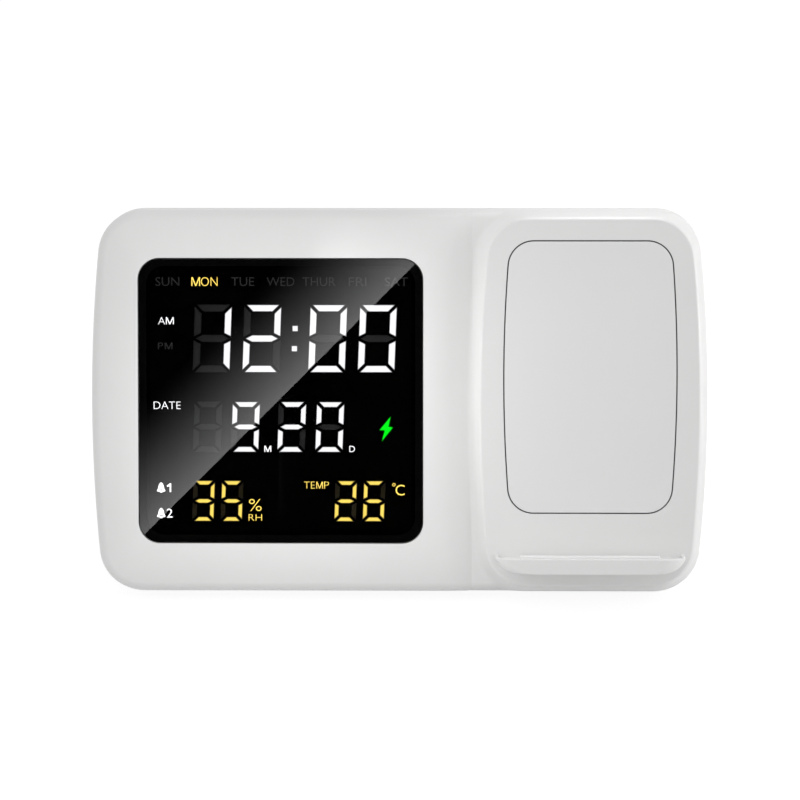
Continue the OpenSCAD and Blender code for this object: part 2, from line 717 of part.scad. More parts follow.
// Front shell: soft bezel, valley and raised module in one moulding
module front_shell() {
    color("white") face_frame() difference() {
        union() {
            difference() {
                front_skin();
                body_slab(wall, -front_depth - 1, bezel_ceiling);
                at_window() slab(round_box(window_w + 2 * bezel_w - 2 * display_edge,
                    body_h - 2 * display_edge, window_r), -front_depth - 1, flange_back);
                translate([panel_u, half_h, 0]) slab(round_box(2 * (panel_u - face_left - module_side),
                    body_h - 2 * module_low, corner_r - wall), -front_depth - 1, module_back);
            }
            at_led_posts() rod(board_post_r, led_board_front, flange_back + 0.3);
            at_charger_posts() rod(board_post_r, charger_front, module_back + 0.3);
            for (v = [post_low, post_high]) {
                translate([post_left, v, 0]) rod(shell_post_r, -front_depth, flange_back + 0.3);
                translate([post_right, v, 0]) rod(shell_post_r, -front_depth, module_back + 0.3);
            }
        }
        at_window() slab(round_box(window_w + 2 * fit, window_h + 2 * fit, window_r + fit),
            flange_front, module_proud + wall);
        at_window() slab(round_box(opening_w, opening_h, window_r - 1), -front_depth, 1);
        translate([panel_u, panel_v, 0]) slab(bowed_box(panel_w + 2 * panel_seam,
            panel_h + 2 * panel_seam, panel_r + panel_seam), module_proud - panel_t,
            module_proud + wall);
        at_ledge_pins() rod(ledge_pin_r + fit, module_back - 1, module_proud + wall);
        at_led_posts() rod(board_screw_r + screw_fit, led_board_front - 1,
            led_board_front + board_screw_l - 1);
        at_charger_posts() rod(board_screw_r + screw_fit, charger_front - 1,
            charger_front + board_screw_l);
        at_shell_posts() rod(shell_screw_r + screw_fit, -front_depth - 1,
            shell_screw_l - screw_seat_t - front_depth + 0.5);
    }
}

// Rear shell: wedge housing with screw wells, cell cup and board posts
module rear_shell() {
    color("whitesmoke") difference() {
        union() {
            difference() {
                union() {
                    rear_skin();
                    face_frame() body_slab(wall + fit, -front_depth - 2, tongue_h - front_depth);
                }
                rear_hollow();
            }
            difference() {
                face_frame() at_shell_posts()
                    rod(shell_head_r + well_wall, -front_depth - base_depth, -front_depth);
                translate([-body_w, rear_y - wall / 2, -body_h])
                    cube([2 * body_w, 2 * base_depth, 4 * body_h]);
            }
            rear_frame() {
                at_board_posts() rod(board_post_r, board_back, -wall / 2);
                translate([door_x, door_z, 0]) rod(cup_wall_r, cup_back, -wall / 2);
            }
        }
        face_frame() at_shell_posts() {
            rod(shell_head_r + 2 * slide_fit, -front_depth - 2 * base_depth,
                -front_depth - screw_seat_t);
            rod(shell_screw_r + slide_fit, -front_depth - screw_seat_t - 1, 1);
        }
        rear_frame() {
            at_board_posts() rod(board_screw_r + screw_fit, board_back - 1,
                board_back + board_screw_l);
            for (k = [0 : 4]) at_button(k)
                pill(button_w + 2 * slide_fit, button_h + 2 * slide_fit, -wall - 1, 1);
            translate([0, usb_z, 0]) pill(usb_w + 2 * fit, usb_h + 2 * fit, -wall - 1, 1);
            translate([buzzer_x, buzzer_z, 0]) {
                rod(sound_hole_r, -wall - 1, 1);
                for (k = [0 : 5]) rotate([0, 0, 60 * k]) translate([sound_ring_r, 0, 0])
                    rod(sound_hole_r, -wall - 1, 1);
            }
            for (k = [-1.5 : 1 : 1.5])
                translate([sensor_x + sensor_slot_pitch * k, sensor_z, 0])
                rotate([0, 0, 90]) pill(sensor_slot_l, sensor_slot_w, -wall - 1, 1);
            for (k = [0 : vent_count - 1])
                translate([vent_x + (k - (vent_count - 1) / 2) * vent_pitch, vent_z, 0])
                rotate([0, 0, 90]) pill(vent_l, vent_w, -wall - 1, 1);
            translate([door_x, door_z, 0]) {
                rod(door_r + slide_fit, -wall - 1, 1);
                rod(cup_r, cell_zone, -wall);
                rod(cell_r + slide_fit, cell_floor, cell_zone + 1);
                rotate([0, 0, door_turn])
                    block(2 * cup_r - 0.2, lug_w + 4 * slide_fit, -wall - 1, 1);
            }
        }
        at_feet() rod(foot_r + fit, foot_proud - 1, foot_proud + foot_seat);
    }
}

// Display window: smoked plate bonded flush in the bezel
module display_window() {
    color("black") face_frame() at_window()
        slab(round_box(window_w, window_h, window_r), -window_t, 0);
}

// Bonding tape round the edge of the window
module window_tape() {
    color("dimgray") face_frame() at_window() difference() {
        slab(round_box(window_w - 2 * fit, window_h - 2 * fit, window_r - fit),
            flange_front, -window_t);
        slab(round_box(opening_w + 2 * fit, opening_h + 2 * fit, window_r - 1),
            flange_front - 1, 0);
    }
}

// Seven-segment bars: top, upper right, lower right, bottom, lower left, upper left, middle
function slanted(p) = [p[0] + p[1] * tan(digit_slant), p[1]];
function bar_shape(w, h, t, k) = let (x = w / 2, y = h / 2, g = segment_gap)
    k == 0 || k == 3 ? [[g - x, y], [x - g, y], [x - t - g, y - t], [t + g - x, y - t]] :
    k == 6 ? [[g - x, 0], [t + g - x, t / 2], [x - t - g, t / 2], [x - g, 0],
        [x - t - g, -t / 2], [t + g - x, -t / 2]] :
    [[x, y - g], [x - t, y - t - g], [x - t, t / 2 + g], [x, g]];
function bar_flip(k) = [k == 4 || k == 5 ? -1 : 1, k == 2 || k == 3 || k == 4 ? -1 : 1];
function bar(w, h, t, k) = [for (p = bar_shape(w, h, t, k))
    slanted([p[0] * bar_flip(k)[0], p[1] * bar_flip(k)[1]])];
function middle(points) = [for (a = [0, 1])
    (min([for (p = points) p[a]]) + max([for (p = points) p[a]])) / 2];

time_places = [time_left, time_left + time_pitch, time_left + time_pitch + colon_pitch,
    time_left + 2 * time_pitch + colon_pitch];
date_places = [date_left, date_left + date_pitch, date_left + date_pitch + month_pitch,
    date_left + 2 * date_pitch + month_pitch];
humidity_places = [humidity_left, humidity_left + climate_pitch];
temperature_places = [temperature_left, temperature_left + climate_pitch];
colon_place = time_left + time_pitch + colon_pitch / 2;

module digit_row(places, row, w, h, t, grow, back, front) {
    for (x = places) translate([x, row, back]) for (k = [0 : 6])
        linear_extrude(height = front - back) offset(delta = grow) polygon(bar(w, h, t, k));
}

module colon_dots(grow, back, front) {
    for (s = [-1, 1])
        translate([colon_place + s * colon_spread / 2 * tan(digit_slant),
            time_row + s * colon_spread / 2, 0])
        block(colon_side + 2 * grow, colon_side + 2 * grow, back, front);
}

module row_chips(places, row, w, h, t) {
    for (x = places) for (k = [0 : 6]) translate([x, row, 0])
        translate(middle(bar(w, h, t, k)))
        block(led_side, led_side, led_board_front, led_board_front + 0.6);
}

module time_row_bars(grow, back, front) {
    digit_row(time_places, time_row, time_digit_w, time_digit_h, time_stroke, grow, back, front);
    colon_dots(grow, back, front);
}

module date_row_bars(grow, back, front) {
    digit_row(date_places, date_row, date_digit_w, date_digit_h, date_stroke, grow, back, front);
}

module climate_bars(places, grow, back, front) {
    digit_row(places, climate_row, climate_digit_w, climate_digit_h, climate_stroke, grow,
        back, front);
}

// Segment reflector: black block with a light well behind every segment
module segment_reflector() {
    deep = led_board_front - 1;
    color("dimgray") face_frame() at_window() difference() {
        slab(round_box(reflector_w, reflector_h, reflector_r), led_board_front, reflector_front);
        time_row_bars(0.05, deep, 1);
        date_row_bars(0.05, deep, 1);
        climate_bars(concat(humidity_places, temperature_places), 0.05, deep, 1);
    }
}

// Segment diffusers, one set for each row of figures
module time_digits() {
    color("ivory") face_frame() at_window()
        time_row_bars(0, reflector_front - segment_t, reflector_front);
}

module date_digits() {
    color("ivory") face_frame() at_window()
        date_row_bars(0, reflector_front - segment_t, reflector_front);
}

module humidity_digits() {
    color("gold") face_frame() at_window()
        climate_bars(humidity_places, 0, reflector_front - segment_t, reflector_front);
}

module temperature_digits() {
    color("gold") face_frame() at_window()
        climate_bars(temperature_places, 0, reflector_front - segment_t, reflector_front);
}

// Display board behind the reflector, screwed to four posts
module led_board() {
    color("darkgreen") face_frame() difference() {
        at_window() block(led_board_w, led_board_h, led_board_back, led_board_front);
        at_led_posts() rod(board_screw_r + fit, led_board_back - 1, led_board_front + 1);
    }
}

module led_chips() {
    color("lightyellow") face_frame() at_window() {
        row_chips(time_places, time_row, time_digit_w, time_digit_h, time_stroke);
        row_chips(date_places, date_row, date_digit_w, date_digit_h, date_stroke);
        row_chips(concat(humidity_places, temperature_places), climate_row, climate_digit_w,
            climate_digit_h, climate_stroke);
        for (s = [-1, 1]) translate([colon_place, time_row + s * colon_spread / 2, 0])
            block(led_side, led_side, led_board_front, led_board_front + 0.6);
    }
}

module display_screws() {
    color("silver") face_frame() at_led_posts() translate([0, 0, led_board_back])
        screw(board_head_r, board_head_h, board_screw_r, board_screw_l);
}

// Charging panel: thin plate set flush in the module face
module charging_panel() {
    color("white") face_frame() translate([panel_u, panel_v, 0])
        slab(bowed_box(panel_w, panel_h, panel_r), module_proud - panel_t, module_proud);
}

// Charging coil: flat winding with a groove between turns
module charging_coil() {
    pitch = (coil_outer_r - coil_inner_r) / coil_turns;
    color("peru") face_frame() translate([panel_u, coil_v, 0]) difference() {
        rod(coil_outer_r, module_back - coil_t, module_back);
        rod(coil_inner_r, module_back - coil_t - 1, module_back + 1);
        for (k = [1 : coil_turns - 1]) difference() {
            rod(coil_inner_r + k * pitch + 0.1, module_back - coil_t / 3, module_back + 1);
            rod(coil_inner_r + k * pitch - 0.1, module_back - coil_t, module_back + 2);
        }
    }
}

// Ferrite sheet behind the coil, notched for the leads
module ferrite_sheet() {
    color("darkslategray") face_frame() difference() {
        translate([panel_u, coil_v, 0]) block(ferrite_side, ferrite_side,
            module_back - coil_t - ferrite_t, module_back - coil_t);
        translate([panel_u, coil_v - ferrite_side / 2, 0])
            block(2 * lead_spread + 4 * lead_r + 2, 2 * (ferrite_side / 2 - coil_outer_r
            + 2 + 2 * lead_r), module_back - coil_t - ferrite_t - 1, module_back);
    }
}

module coil_leads() {
    color("sienna") face_frame() for (s = [-1, 1])
        translate([panel_u + s * lead_spread, lead_v, 0])
        rod(lead_r, charger_front, module_back - coil_t);
}

// Charger board on four posts behind the coil
module charger_board() {
    color("darkgreen") face_frame() difference() {
        translate([panel_u, charger_v, 0])
            block(charger_board_w, charger_board_h, charger_back, charger_front);
        at_charger_posts() rod(board_screw_r + fit, charger_back - 1, charger_front + 1);
    }
}

module charger_parts() {
    color("gray") face_frame() translate([panel_u, charger_v, 0]) {
        translate([choke_x, choke_rise, 0])
            block(choke_side, choke_side, charger_back - choke_h, charger_back);
        for (s = [-1, 1]) translate([0, s * chip_pitch / 2, 0])
            block(chip_side, chip_side, charger_back - chip_t, charger_back);
        for (k = [0, 1]) translate([choke_x + k * capacitor_pitch, -choke_rise, 0])
            rod(capacitor_r, charger_back - capacitor_h, charger_back);
    }
}

module charger_screws() {
    color("silver") face_frame() at_charger_posts() translate([0, 0, charger_back])
        screw(board_head_r, board_head_h, board_screw_r, board_screw_l);
}

// Phone ledge: boat-shaped shelf with a shallow tray, pinned through the module wall
function ledge_outline() = let (k = asin((ledge_end_r - ledge_t) / ledge_end_r),
    y = ledge_end_r - ledge_t, x = ledge_w / 2 - ledge_end_r)
    concat(arc(-x, y, ledge_end_r, 180 + k, 270, 8), arc(x, y, ledge_end_r, 270, 360 - k, 8));
function ledge_plan(w, d, r) = concat([[-w / 2, 0]], arc(r - w / 2, r - d, r, 180, 270, 6),
    arc(w / 2 - r, r - d, r, 270, 360, 6), [[w / 2, 0]]);

// Lays a plan drawn below the x axis out of the module face
module on_shelf(low, high) {
    translate([panel_u, ledge_v, module_proud]) rotate([-90, 0, 0])
        translate([0, 0, low]) linear_extrude(height = high - low) children();
}

module phone_ledge() {
    color("white") face_frame() difference() {
        union() {
            intersection() {
                translate([panel_u, ledge_v, 0])
                    slab(ledge_outline(), module_proud, ledge_front);
                on_shelf(-2 * ledge_t, ledge_t)
                    polygon(ledge_plan(ledge_w, ledge_depth, ledge_plan_r));
            }
            at_ledge_pins() rod(ledge_pin_r, module_back, module_proud + 1);
        }
        on_shelf(-tray_depth, ledge_t) translate([0, 1]) polygon(ledge_plan(
            ledge_w - 2 * lip_t, ledge_depth - lip_t + 1, ledge_plan_r - lip_t));
        on_shelf(-tray_depth - strip_seat, 1)
            translate([-strip_w / 2 - fit, -strip_back - strip_d - fit])
            square([strip_w + 2 * fit, strip_d + 2 * fit]);
        at_ledge_pins() rod(board_screw_r + screw_fit, module_back - 1,
            module_back + board_screw_l + 0.5);
    }
}

// Cushion strip the phone stands on
module ledge_strip() {
    low = -tray_depth - strip_seat;
    color("lightgray") face_frame() on_shelf(low, low + strip_t)
        translate([-strip_w / 2, -strip_back - strip_d]) square([strip_w, strip_d]);
}

module ledge_screws() {
    color("silver") face_frame() at_ledge_pins() translate([0, 0, module_back])
        screw(ledge_head_r, board_head_h, board_screw_r, board_screw_l);
}

// Main board, screwed to posts on the rear wall
module main_board() {
    color("darkgreen") rear_frame() difference() {
        translate([0, main_board_z, 0])
            block(main_board_w, main_board_h, board_front, board_back);
        at_board_posts() rod(board_screw_r + fit, board_front - 1, board_back + 1);
    }
}

module main_board_parts() {
    color("gray") rear_frame() translate([0, main_board_z, 0]) {
        translate([-controller_x, 0, 0]) block(controller_side, controller_side,
            board_front - controller_t, board_front);
        translate([-controller_x, -crystal_drop, 0])
            block(crystal_l, crystal_w, board_front - crystal_h, board_front);
        translate([controller_x, 0, 0])
            rod(capacitor_r, board_front - capacitor_h, board_front);
    }
}

// Tact switches under the five buttons
module tact_switches() {
    color("dimgray") rear_frame() for (k = [0 : 4]) at_button(k) difference() {
        block(switch_side, switch_side, board_back, switch_top);
        rod(plunger_r + slide_fit, flange_inner - plunger_l - button_travel - slide_fit,
            switch_top + 1);
    }
}

module plunger(k) {
    color("black") rear_frame() at_button(k) rod(plunger_r, flange_inner - plunger_l, flange_inner);
}

module button_cap(k) {
    color("lightgray") rear_frame() at_button(k) union() {
        pill(button_w, button_h, -wall, button_proud);
        pill(button_w + 2 * button_flange, button_h + 2 * button_flange, flange_inner, -wall);
    }
}

module plunger_set() { plunger(0); }
module plunger_up() { plunger(1); }
module plunger_down() { plunger(2); }
module plunger_alarm() { plunger(3); }
module plunger_light() { plunger(4); }
module button_set() { button_cap(0); }
module button_up() { button_cap(1); }
module button_down() { button_cap(2); }
module button_alarm() { button_cap(3); }
module button_light() { button_cap(4); }

// Power inlet: metal sleeve and the insulator with its contact tongue
module usb_c_shell() {
    color("silver") rear_frame() translate([0, usb_z, 0]) difference() {
        pill(usb_w, usb_h, board_back, -usb_inset);
        pill(usb_w - 2 * usb_wall, usb_h - 2 * usb_wall, board_back - 1, 1);
    }
}

module usb_c_tongue() {
    root = board_back + 2.5;
    gap = usb_wall + 0.02;
    color("black") rear_frame() translate([0, usb_z, 0]) union() {
        pill(usb_w - 2 * gap, usb_h - 2 * gap, board_back, root);
        block(usb_tongue_w, usb_tongue_t, root - 0.5, -usb_inset - 0.8);
    }
}

module buzzer() {
    color("black") rear_frame() translate([buzzer_x, buzzer_z, 0]) difference() {
        rod(buzzer_r, board_back, board_back + buzzer_h);
        rod(1.2, board_back + buzzer_h - 1, board_back + buzzer_h + 1);
    }
}

module climate_sensor() {
    color("whitesmoke") rear_frame() translate([sensor_x, sensor_z, 0]) difference() {
        block(sensor_side, sensor_side, board_back, board_back + 1.2);
        rod(0.6, board_back + 0.8, board_back + 2);
    }
}

module board_screws() {
    color("silver") rear_frame() at_board_posts() translate([0, 0, board_front])
        screw(board_head_r, board_head_h, board_screw_r, board_screw_l);
}

// Cell contact: a brass disc under the cell
module cell_contacts() {
    color("goldenrod") rear_frame() translate([door_x, door_z, 0])
        rod(cell_r - 2, cell_floor, cell_floor + contact_t);
}

module backup_cell() {
    color("silver") rear_frame() translate([door_x, door_z, 0]) union() {
        rod(cell_r - 1.2, cell_floor + contact_t, cell_floor + contact_t + 0.6);
        rod(cell_r, cell_floor + contact_t + 0.6, cell_floor + contact_t + cell_t);
    }
}

// Cell door: coin-turned disc with two locking lugs
module battery_door() {
    color("whitesmoke") rear_frame() translate([door_x, door_z, 0]) difference() {
        union() {
            rod(door_r, door_back, 0);
            intersection() {
                rod(lug_r, door_back, door_back + lug_t);
                block(4 * lug_r, lug_w, door_back - 1, 1);
            }
        }
        block(door_r, coin_slot_w, -coin_slot_d, 1);
        rod(door_r - 2, door_back - 1, -coin_slot_d - 1.2);
    }
}

module shell_screws() {
    color("silver") face_frame() at_shell_posts()
        translate([0, 0, -front_depth - screw_seat_t])
        screw(shell_head_r, shell_head_h, shell_screw_r, shell_screw_l);
}

// Rubber feet, bonded in round seats under the base
module rubber_feet() {
    color("dimgray") at_feet() union() {
        rod(foot_r, foot_proud / 2, foot_proud + foot_seat);
        cylinder(r1 = foot_r - 0.6, r2 = foot_r, h = foot_proud / 2);
    }
}

// Flat cables: a slack bow between two plugs
function bow_point(p, q, sag, t) = [p[0] + (q[0] - p[0]) * t,
    p[1] + (q[1] - p[1]) * t - sag * sin(180 * t)];
function bow_band(p, q, sag, h) = concat(
    [for (t = concat([0], steps(0, 1, 16))) bow_point(p, q, sag, t) + [0, h / 2]],
    [for (t = concat([1], steps(1, 0, 16))) bow_point(p, q, sag, t) - [0, h / 2]]);

module flat_cable(x, v, back, width, thick, rise) {
    low = on_face([x, v, back - plug_h / 2]);
    start = [low[1], low[2]];
    plug_z = main_board_z + rise;
    finish = [rear_y + board_front - plug_h / 2, plug_z];
    plug_w = width + 2 * plug_rim;
    union() {
        face_frame() translate([x, v, 0]) block(plug_w, plug_l, back - plug_h, back);
        translate([x, rear_y, plug_z]) rotate([90, 0, 180])
            block(plug_w, plug_l, board_front - plug_h, board_front);
        translate([x + width / 2, 0, 0]) rotate([90, 0, -90]) linear_extrude(height = width)
            polygon([for (p = bow_band(start, finish, cable_sag, thick)) [-p[0], p[1]]]);
    }
}

module display_cable() {
    color("lightgray") flat_cable(-display_cable_x, display_cable_v, led_board_back,
        display_cable_w, display_cable_t, display_plug_rise);
}

module charger_cable() {
    color("firebrick") flat_cable(panel_u - charger_board_w / 2 + charger_cable_inset,
        charger_v - charger_cable_drop, charger_back, charger_cable_w, charger_cable_t,
        charger_plug_rise);
}

front_shell();
rear_shell();
display_window();
window_tape();
segment_reflector();
time_digits();
date_digits();
humidity_digits();
temperature_digits();
led_board();
led_chips();
display_screws();
charging_panel();
charging_coil();
ferrite_sheet();
coil_leads();
charger_board();
charger_parts();
charger_screws();
phone_ledge();
ledge_strip();
ledge_screws();
main_board();
main_board_parts();
tact_switches();
usb_c_shell();
usb_c_tongue();
buzzer();
climate_sensor();
board_screws();
cell_contacts();
backup_cell();
battery_door();
shell_screws();
rubber_feet();
display_cable();
charger_cable();
button_set();
button_up();
button_down();
button_alarm();
button_light();
plunger_set();
plunger_up();
plunger_down();
plunger_alarm();
plunger_light();
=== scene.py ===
import math

import bpy
import numpy as np
from mathutils import Matrix, Vector


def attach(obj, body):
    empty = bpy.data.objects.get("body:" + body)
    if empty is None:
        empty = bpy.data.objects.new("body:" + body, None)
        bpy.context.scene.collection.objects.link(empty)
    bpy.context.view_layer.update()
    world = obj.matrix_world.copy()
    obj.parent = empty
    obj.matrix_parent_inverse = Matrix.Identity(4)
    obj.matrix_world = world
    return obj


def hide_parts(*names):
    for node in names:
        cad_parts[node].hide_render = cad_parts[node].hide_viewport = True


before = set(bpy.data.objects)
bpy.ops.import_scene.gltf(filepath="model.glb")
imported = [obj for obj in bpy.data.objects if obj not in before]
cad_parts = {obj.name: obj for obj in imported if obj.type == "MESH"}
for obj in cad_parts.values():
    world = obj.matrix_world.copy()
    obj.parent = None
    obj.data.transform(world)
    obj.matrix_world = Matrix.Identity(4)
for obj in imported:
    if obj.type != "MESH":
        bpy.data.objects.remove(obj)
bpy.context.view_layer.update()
scene = bpy.context.scene

# Front shell: one injection moulding in satin white ABS, with a fine spark-eroded grain.
# A soft bezel falls away from the window on the left, and the charging module swells out
# of it on the right behind a hollow valley. Four screws from behind hold it.
lean = math.radians(18.0)
body_w, body_h = 190.0, 118.0
half_w, half_h = body_w / 2, body_h / 2
corner_r, side_bow_r = 14.0, 470.0
front_depth, front_edge_r, crown_drop, wall, joint_break = 14.0, 3.0, 4.0, 2.2, 0.25
window_w, window_h, window_r, window_t, window_lift = 87.4, 87.6, 6.5, 2.0, 0.35
bezel_w, flange_w, flange_t, tape_t, fit = 15.0, 2.5, 1.6, 0.2, 0.15
window_u = -half_w + bezel_w + window_w / 2
window_v = half_h + window_lift
module_w, module_proud, flank_w, root_w = 74.5, 2.0, 5.0, 3.5
valley_u = half_w - module_w
rim_out = root_w - front_edge_r / 2
module_u = (valley_u + half_w + rim_out) / 2
module_half = (half_w + rim_out - valley_u) / 2
face_left = valley_u + flank_w
panel_u = (face_left + half_w - front_edge_r) / 2
panel_w, panel_h, panel_r, panel_t = 52.6, 83.2, 7.7, 1.2
panel_seam, panel_drop, floor_t = 0.4, 9.5, 1.4
panel_v = body_h - panel_drop - panel_h / 2
ledge_v, ledge_t, ledge_depth = 12.45, 4.7, 14.0
foot_proud, top_depth, button_proud = 1.5, 21.5, 1.0
overhang = (module_proud + ledge_depth) * math.cos(lean) - (ledge_v - ledge_t) * math.sin(lean)
base_depth = body_h * math.sin(lean) + top_depth
face_y = (overhang - base_depth - button_proud) / 2
face_z = foot_proud + front_depth * math.sin(lean)
rear_y = face_y + base_depth


def on_face(points):
    """Face places (right, up the lean, out) in millimetres, as row places in metres."""
    p = np.asarray(points, float).reshape(-1, 3)
    y = face_y + p[:, 1] * math.sin(lean) - p[:, 2] * math.cos(lean)
    z = face_z + p[:, 1] * math.cos(lean) + p[:, 2] * math.sin(lean)
    return np.c_[p[:, 0], y, z] * 0.001


def bowed_outline(a, b, r, s):
    """Outline with bowed sides, round corners and straight ends, closely set at the module's flank."""
    close_right, close_left = 33.0, 19.0
    k = math.asin((b - r) / (s - r))
    t = np.linspace(-k, k, 49)
    side = np.c_[a - s + s * np.cos(t), s * np.sin(t)]
    c = a - s + math.sqrt((s - r) ** 2 - (b - r) ** 2)
    q = np.linspace(k, math.pi / 2, 26)[1:-1]
    corner = np.c_[c + r * np.cos(q), b - r + r * np.sin(q)]
    right = np.linspace(c, close_right, 36)
    flank = np.linspace(close_right, close_left, 110)[1:]
    left = np.linspace(close_left, -c, 64)[1:]
    columns = np.concatenate([right, flank, left])
    top = np.c_[columns, np.full(len(columns), b)]
    upper = np.concatenate([corner, top, corner[::-1] * [-1, 1]])
    return np.concatenate([side, upper, -side, upper[::-1] * [1, -1]]), len(side), len(upper)


def body_ring(e):
    """Outline of the body drawn in by a distance, on the face."""
    ring = bowed_outline(half_w - e, half_h - e, max(corner_r - e, 1.0), side_bow_r - e)[0]
    return ring + [0, half_h]


def front_height(u, v, e):
    """Height of the front skin over the window plane, at a distance e in from the edge."""
    s = np.clip((np.abs(u - window_u) - window_w / 2) / bezel_w, 0, 1)
    t = np.clip((np.abs(v - window_v) - window_h / 2) / ((body_h - window_h) / 2), 0, 1)
    crown = -crown_drop * np.sqrt(s ** 4 + t ** 4)
    bow = side_bow_r - np.sqrt(side_bow_r ** 2 - (v - half_h) ** 2)
    r = corner_r + rim_out
    qx = np.abs(u - module_u) + bow - module_half + r
    qy = np.abs(v - half_h) - (half_h + rim_out) + r
    inset = r - np.minimum(np.maximum(qx, qy), 0) - np.hypot(np.maximum(qx, 0), np.maximum(qy, 0))
    x = np.clip(inset, 0, flank_w)
    swell = np.where(x < root_w, x * x / (root_w * flank_w),
                     1 - (flank_w - x) ** 2 / (flank_w * (flank_w - root_w)))
    near = np.maximum(front_edge_r - e, 0)
    edge = front_edge_r - np.sqrt(front_edge_r ** 2 - near ** 2)
    return crown + (module_proud - crown) * swell - edge


def piece(name, points, faces):
    mesh = bpy.data.meshes.new(name)
    mesh.from_pydata([tuple(p) for p in points], [], faces)
    mesh.update()
    made = bpy.data.objects.new(name, mesh)
    scene.collection.objects.link(made)
    return made


def wall_faces(n, rings):
    """Four-sided faces between rings of n points each."""
    return [[k * n + i, k * n + (i + 1) % n, (k + 1) * n + (i + 1) % n, (k + 1) * n + i]
            for k in range(rings - 1) for i in range(n)]


def stacked(name, loops, place):
    """Closed solid from loops of points that run anticlockwise seen from the last loop's side."""
    n = len(loops[0])
    first, last = list(range(n)), [(len(loops) - 1) * n + i for i in range(n)]
    return piece(name, place(np.concatenate(loops)), [first[::-1]] + wall_faces(n, len(loops)) + [last])


def at_height(loop, z):
    """Flat outline as points at one height."""
    return np.c_[loop, np.full(len(loop), z)]


def plain_mesh(made):
    """Turns a piece with modifiers into a plain mesh."""
    graph = bpy.context.evaluated_depsgraph_get()
    mesh = bpy.data.meshes.new_from_object(made.evaluated_get(graph), depsgraph=graph)
    made.modifiers.clear()
    made.data = mesh
    mesh.name = made.name


def carve(made, tools, operation="DIFFERENCE"):
    for tool in tools:
        step = made.modifiers.new("carve", "BOOLEAN")
        step.operation = operation
        step.solver = "MANIFOLD"
        step.object = tool
    bpy.context.view_layer.update()
    plain_mesh(made)
    for tool in tools:
        bpy.data.objects.remove(tool)


def smooth(made, angle=13.0):
    mesh = made.data
    mesh.polygons.foreach_set("use_smooth", [True] * len(mesh.polygons))
    mesh.set_sharp_from_angle(angle=math.radians(angle))
    mesh.update()


def round_box(w, h, r, grow=0.0, n=14):
    """Anticlockwise rounded rectangle, grown on every side."""
    w, h, r = w + 2 * grow, h + 2 * grow, r + grow
    loop = []
    for x, y, start in ((1, 1, 0), (-1, 1, 90), (-1, -1, 180), (1, -1, 270)):
        for k in range(n + 1):
            q = math.radians(start + 90 * k / n)
            loop.append((x * (w / 2 - r) + r * math.cos(q), y * (h / 2 - r) + r * math.sin(q)))
    return np.array(loop)


def levels_to_loops(outline, levels, u=0.0, v=0.0):
    """Loops of an outline that grows or shrinks from level to level."""
    return [at_height(outline(g) + [u, v], z) for z, g in levels]


def eased_mouth(low, mouth, ease):
    """Levels of a cutting tool whose mouth leaves a rounded edge."""
    flare_rise, flare, clear = 0.15 * ease, 1.304 * ease, 6.0
    levels = [(low, 0.0)]
    for q in np.radians(range(0, 73, 12)):
        levels.append((mouth - ease + ease * math.sin(q), ease * (1 - math.cos(q))))
    return levels + [(mouth + flare_rise, flare), (mouth + clear, flare)]


def front_skin():
    """Skin of the shell: rings drawn in from the edge, then columns across the face."""
    past_edge, inset_end, far_in = front_edge_r + 0.1, 16.0, 20.0
    steps = [front_edge_r * (1 - math.cos(math.radians(7.5 * k))) for k in range(7)]
    shoulder = list(np.linspace(steps[-1], past_edge, 23)[1:])
    insets = steps + shoulder + list(np.linspace(past_edge, inset_end, 62)[1:])
    joint = ((joint_break, -front_depth), (0.0, joint_break - front_depth))
    rings = [at_height(body_ring(e), w) for e, w in joint]
    for e in insets:
        u, v = body_ring(e).T
        rings.append(np.c_[u, v, front_height(u, v, e)])
    side_n, upper_n = bowed_outline(half_w, half_h, corner_r, side_bow_r)[1:]
    n = len(rings[0])
    points = list(np.concatenate(rings))
    base = (len(rings) - 1) * n
    faces = [list(range(n))[::-1]] + wall_faces(n, len(rings))
    columns = [[base + i for i in range(side_n)]]
    for i in range(upper_n):
        top, low = base + side_n + i, base + (n - 1 - i)
        column = [low]
        for t in np.linspace(0, 1, side_n)[1:-1]:
            p = points[low] + (points[top] - points[low]) * t
            h = front_height(p[0:1], p[1:2], far_in)[0]
            points.append(np.array([p[0], p[1], h]))
            column.append(len(points) - 1)
        columns.append(column + [top])
    columns.append([base + side_n + upper_n + i for i in range(side_n)][::-1])
    for right, left in zip(columns, columns[1:]):
        for k in range(side_n - 1):
            faces.append([right[k], right[k + 1], left[k + 1], left[k]])
    return piece("front_shell_skin", on_face(points), faces)


def boxed_tool(w, h, r, u, v, levels):
    return stacked("tool", levels_to_loops(lambda g: round_box(w, h, r, g), levels, u, v), on_face)


def panel_outline(grow):
    """Outline of the charging panel, with bowed sides, grown on every side."""
    k = math.asin((panel_h / 2 - panel_r) / (side_bow_r - panel_r))
    a, b, r, s = panel_w / 2 + grow, panel_h / 2 + grow, panel_r + grow, side_bow_r + grow
    t = np.linspace(-k, k, 25)
    side = np.c_[a - s + s * np.cos(t), s * np.sin(t)]
    c = a - s + math.sqrt((s - r) ** 2 - (b - r) ** 2)
    q = np.linspace(k, math.pi / 2, 18)[1:]
    corner = np.c_[c + r * np.cos(q), b - r + r * np.sin(q)]
    upper = np.concatenate([corner, corner[::-1] * [-1, 1]])
    return np.concatenate([side, upper, -side, upper[::-1] * [1, -1]])


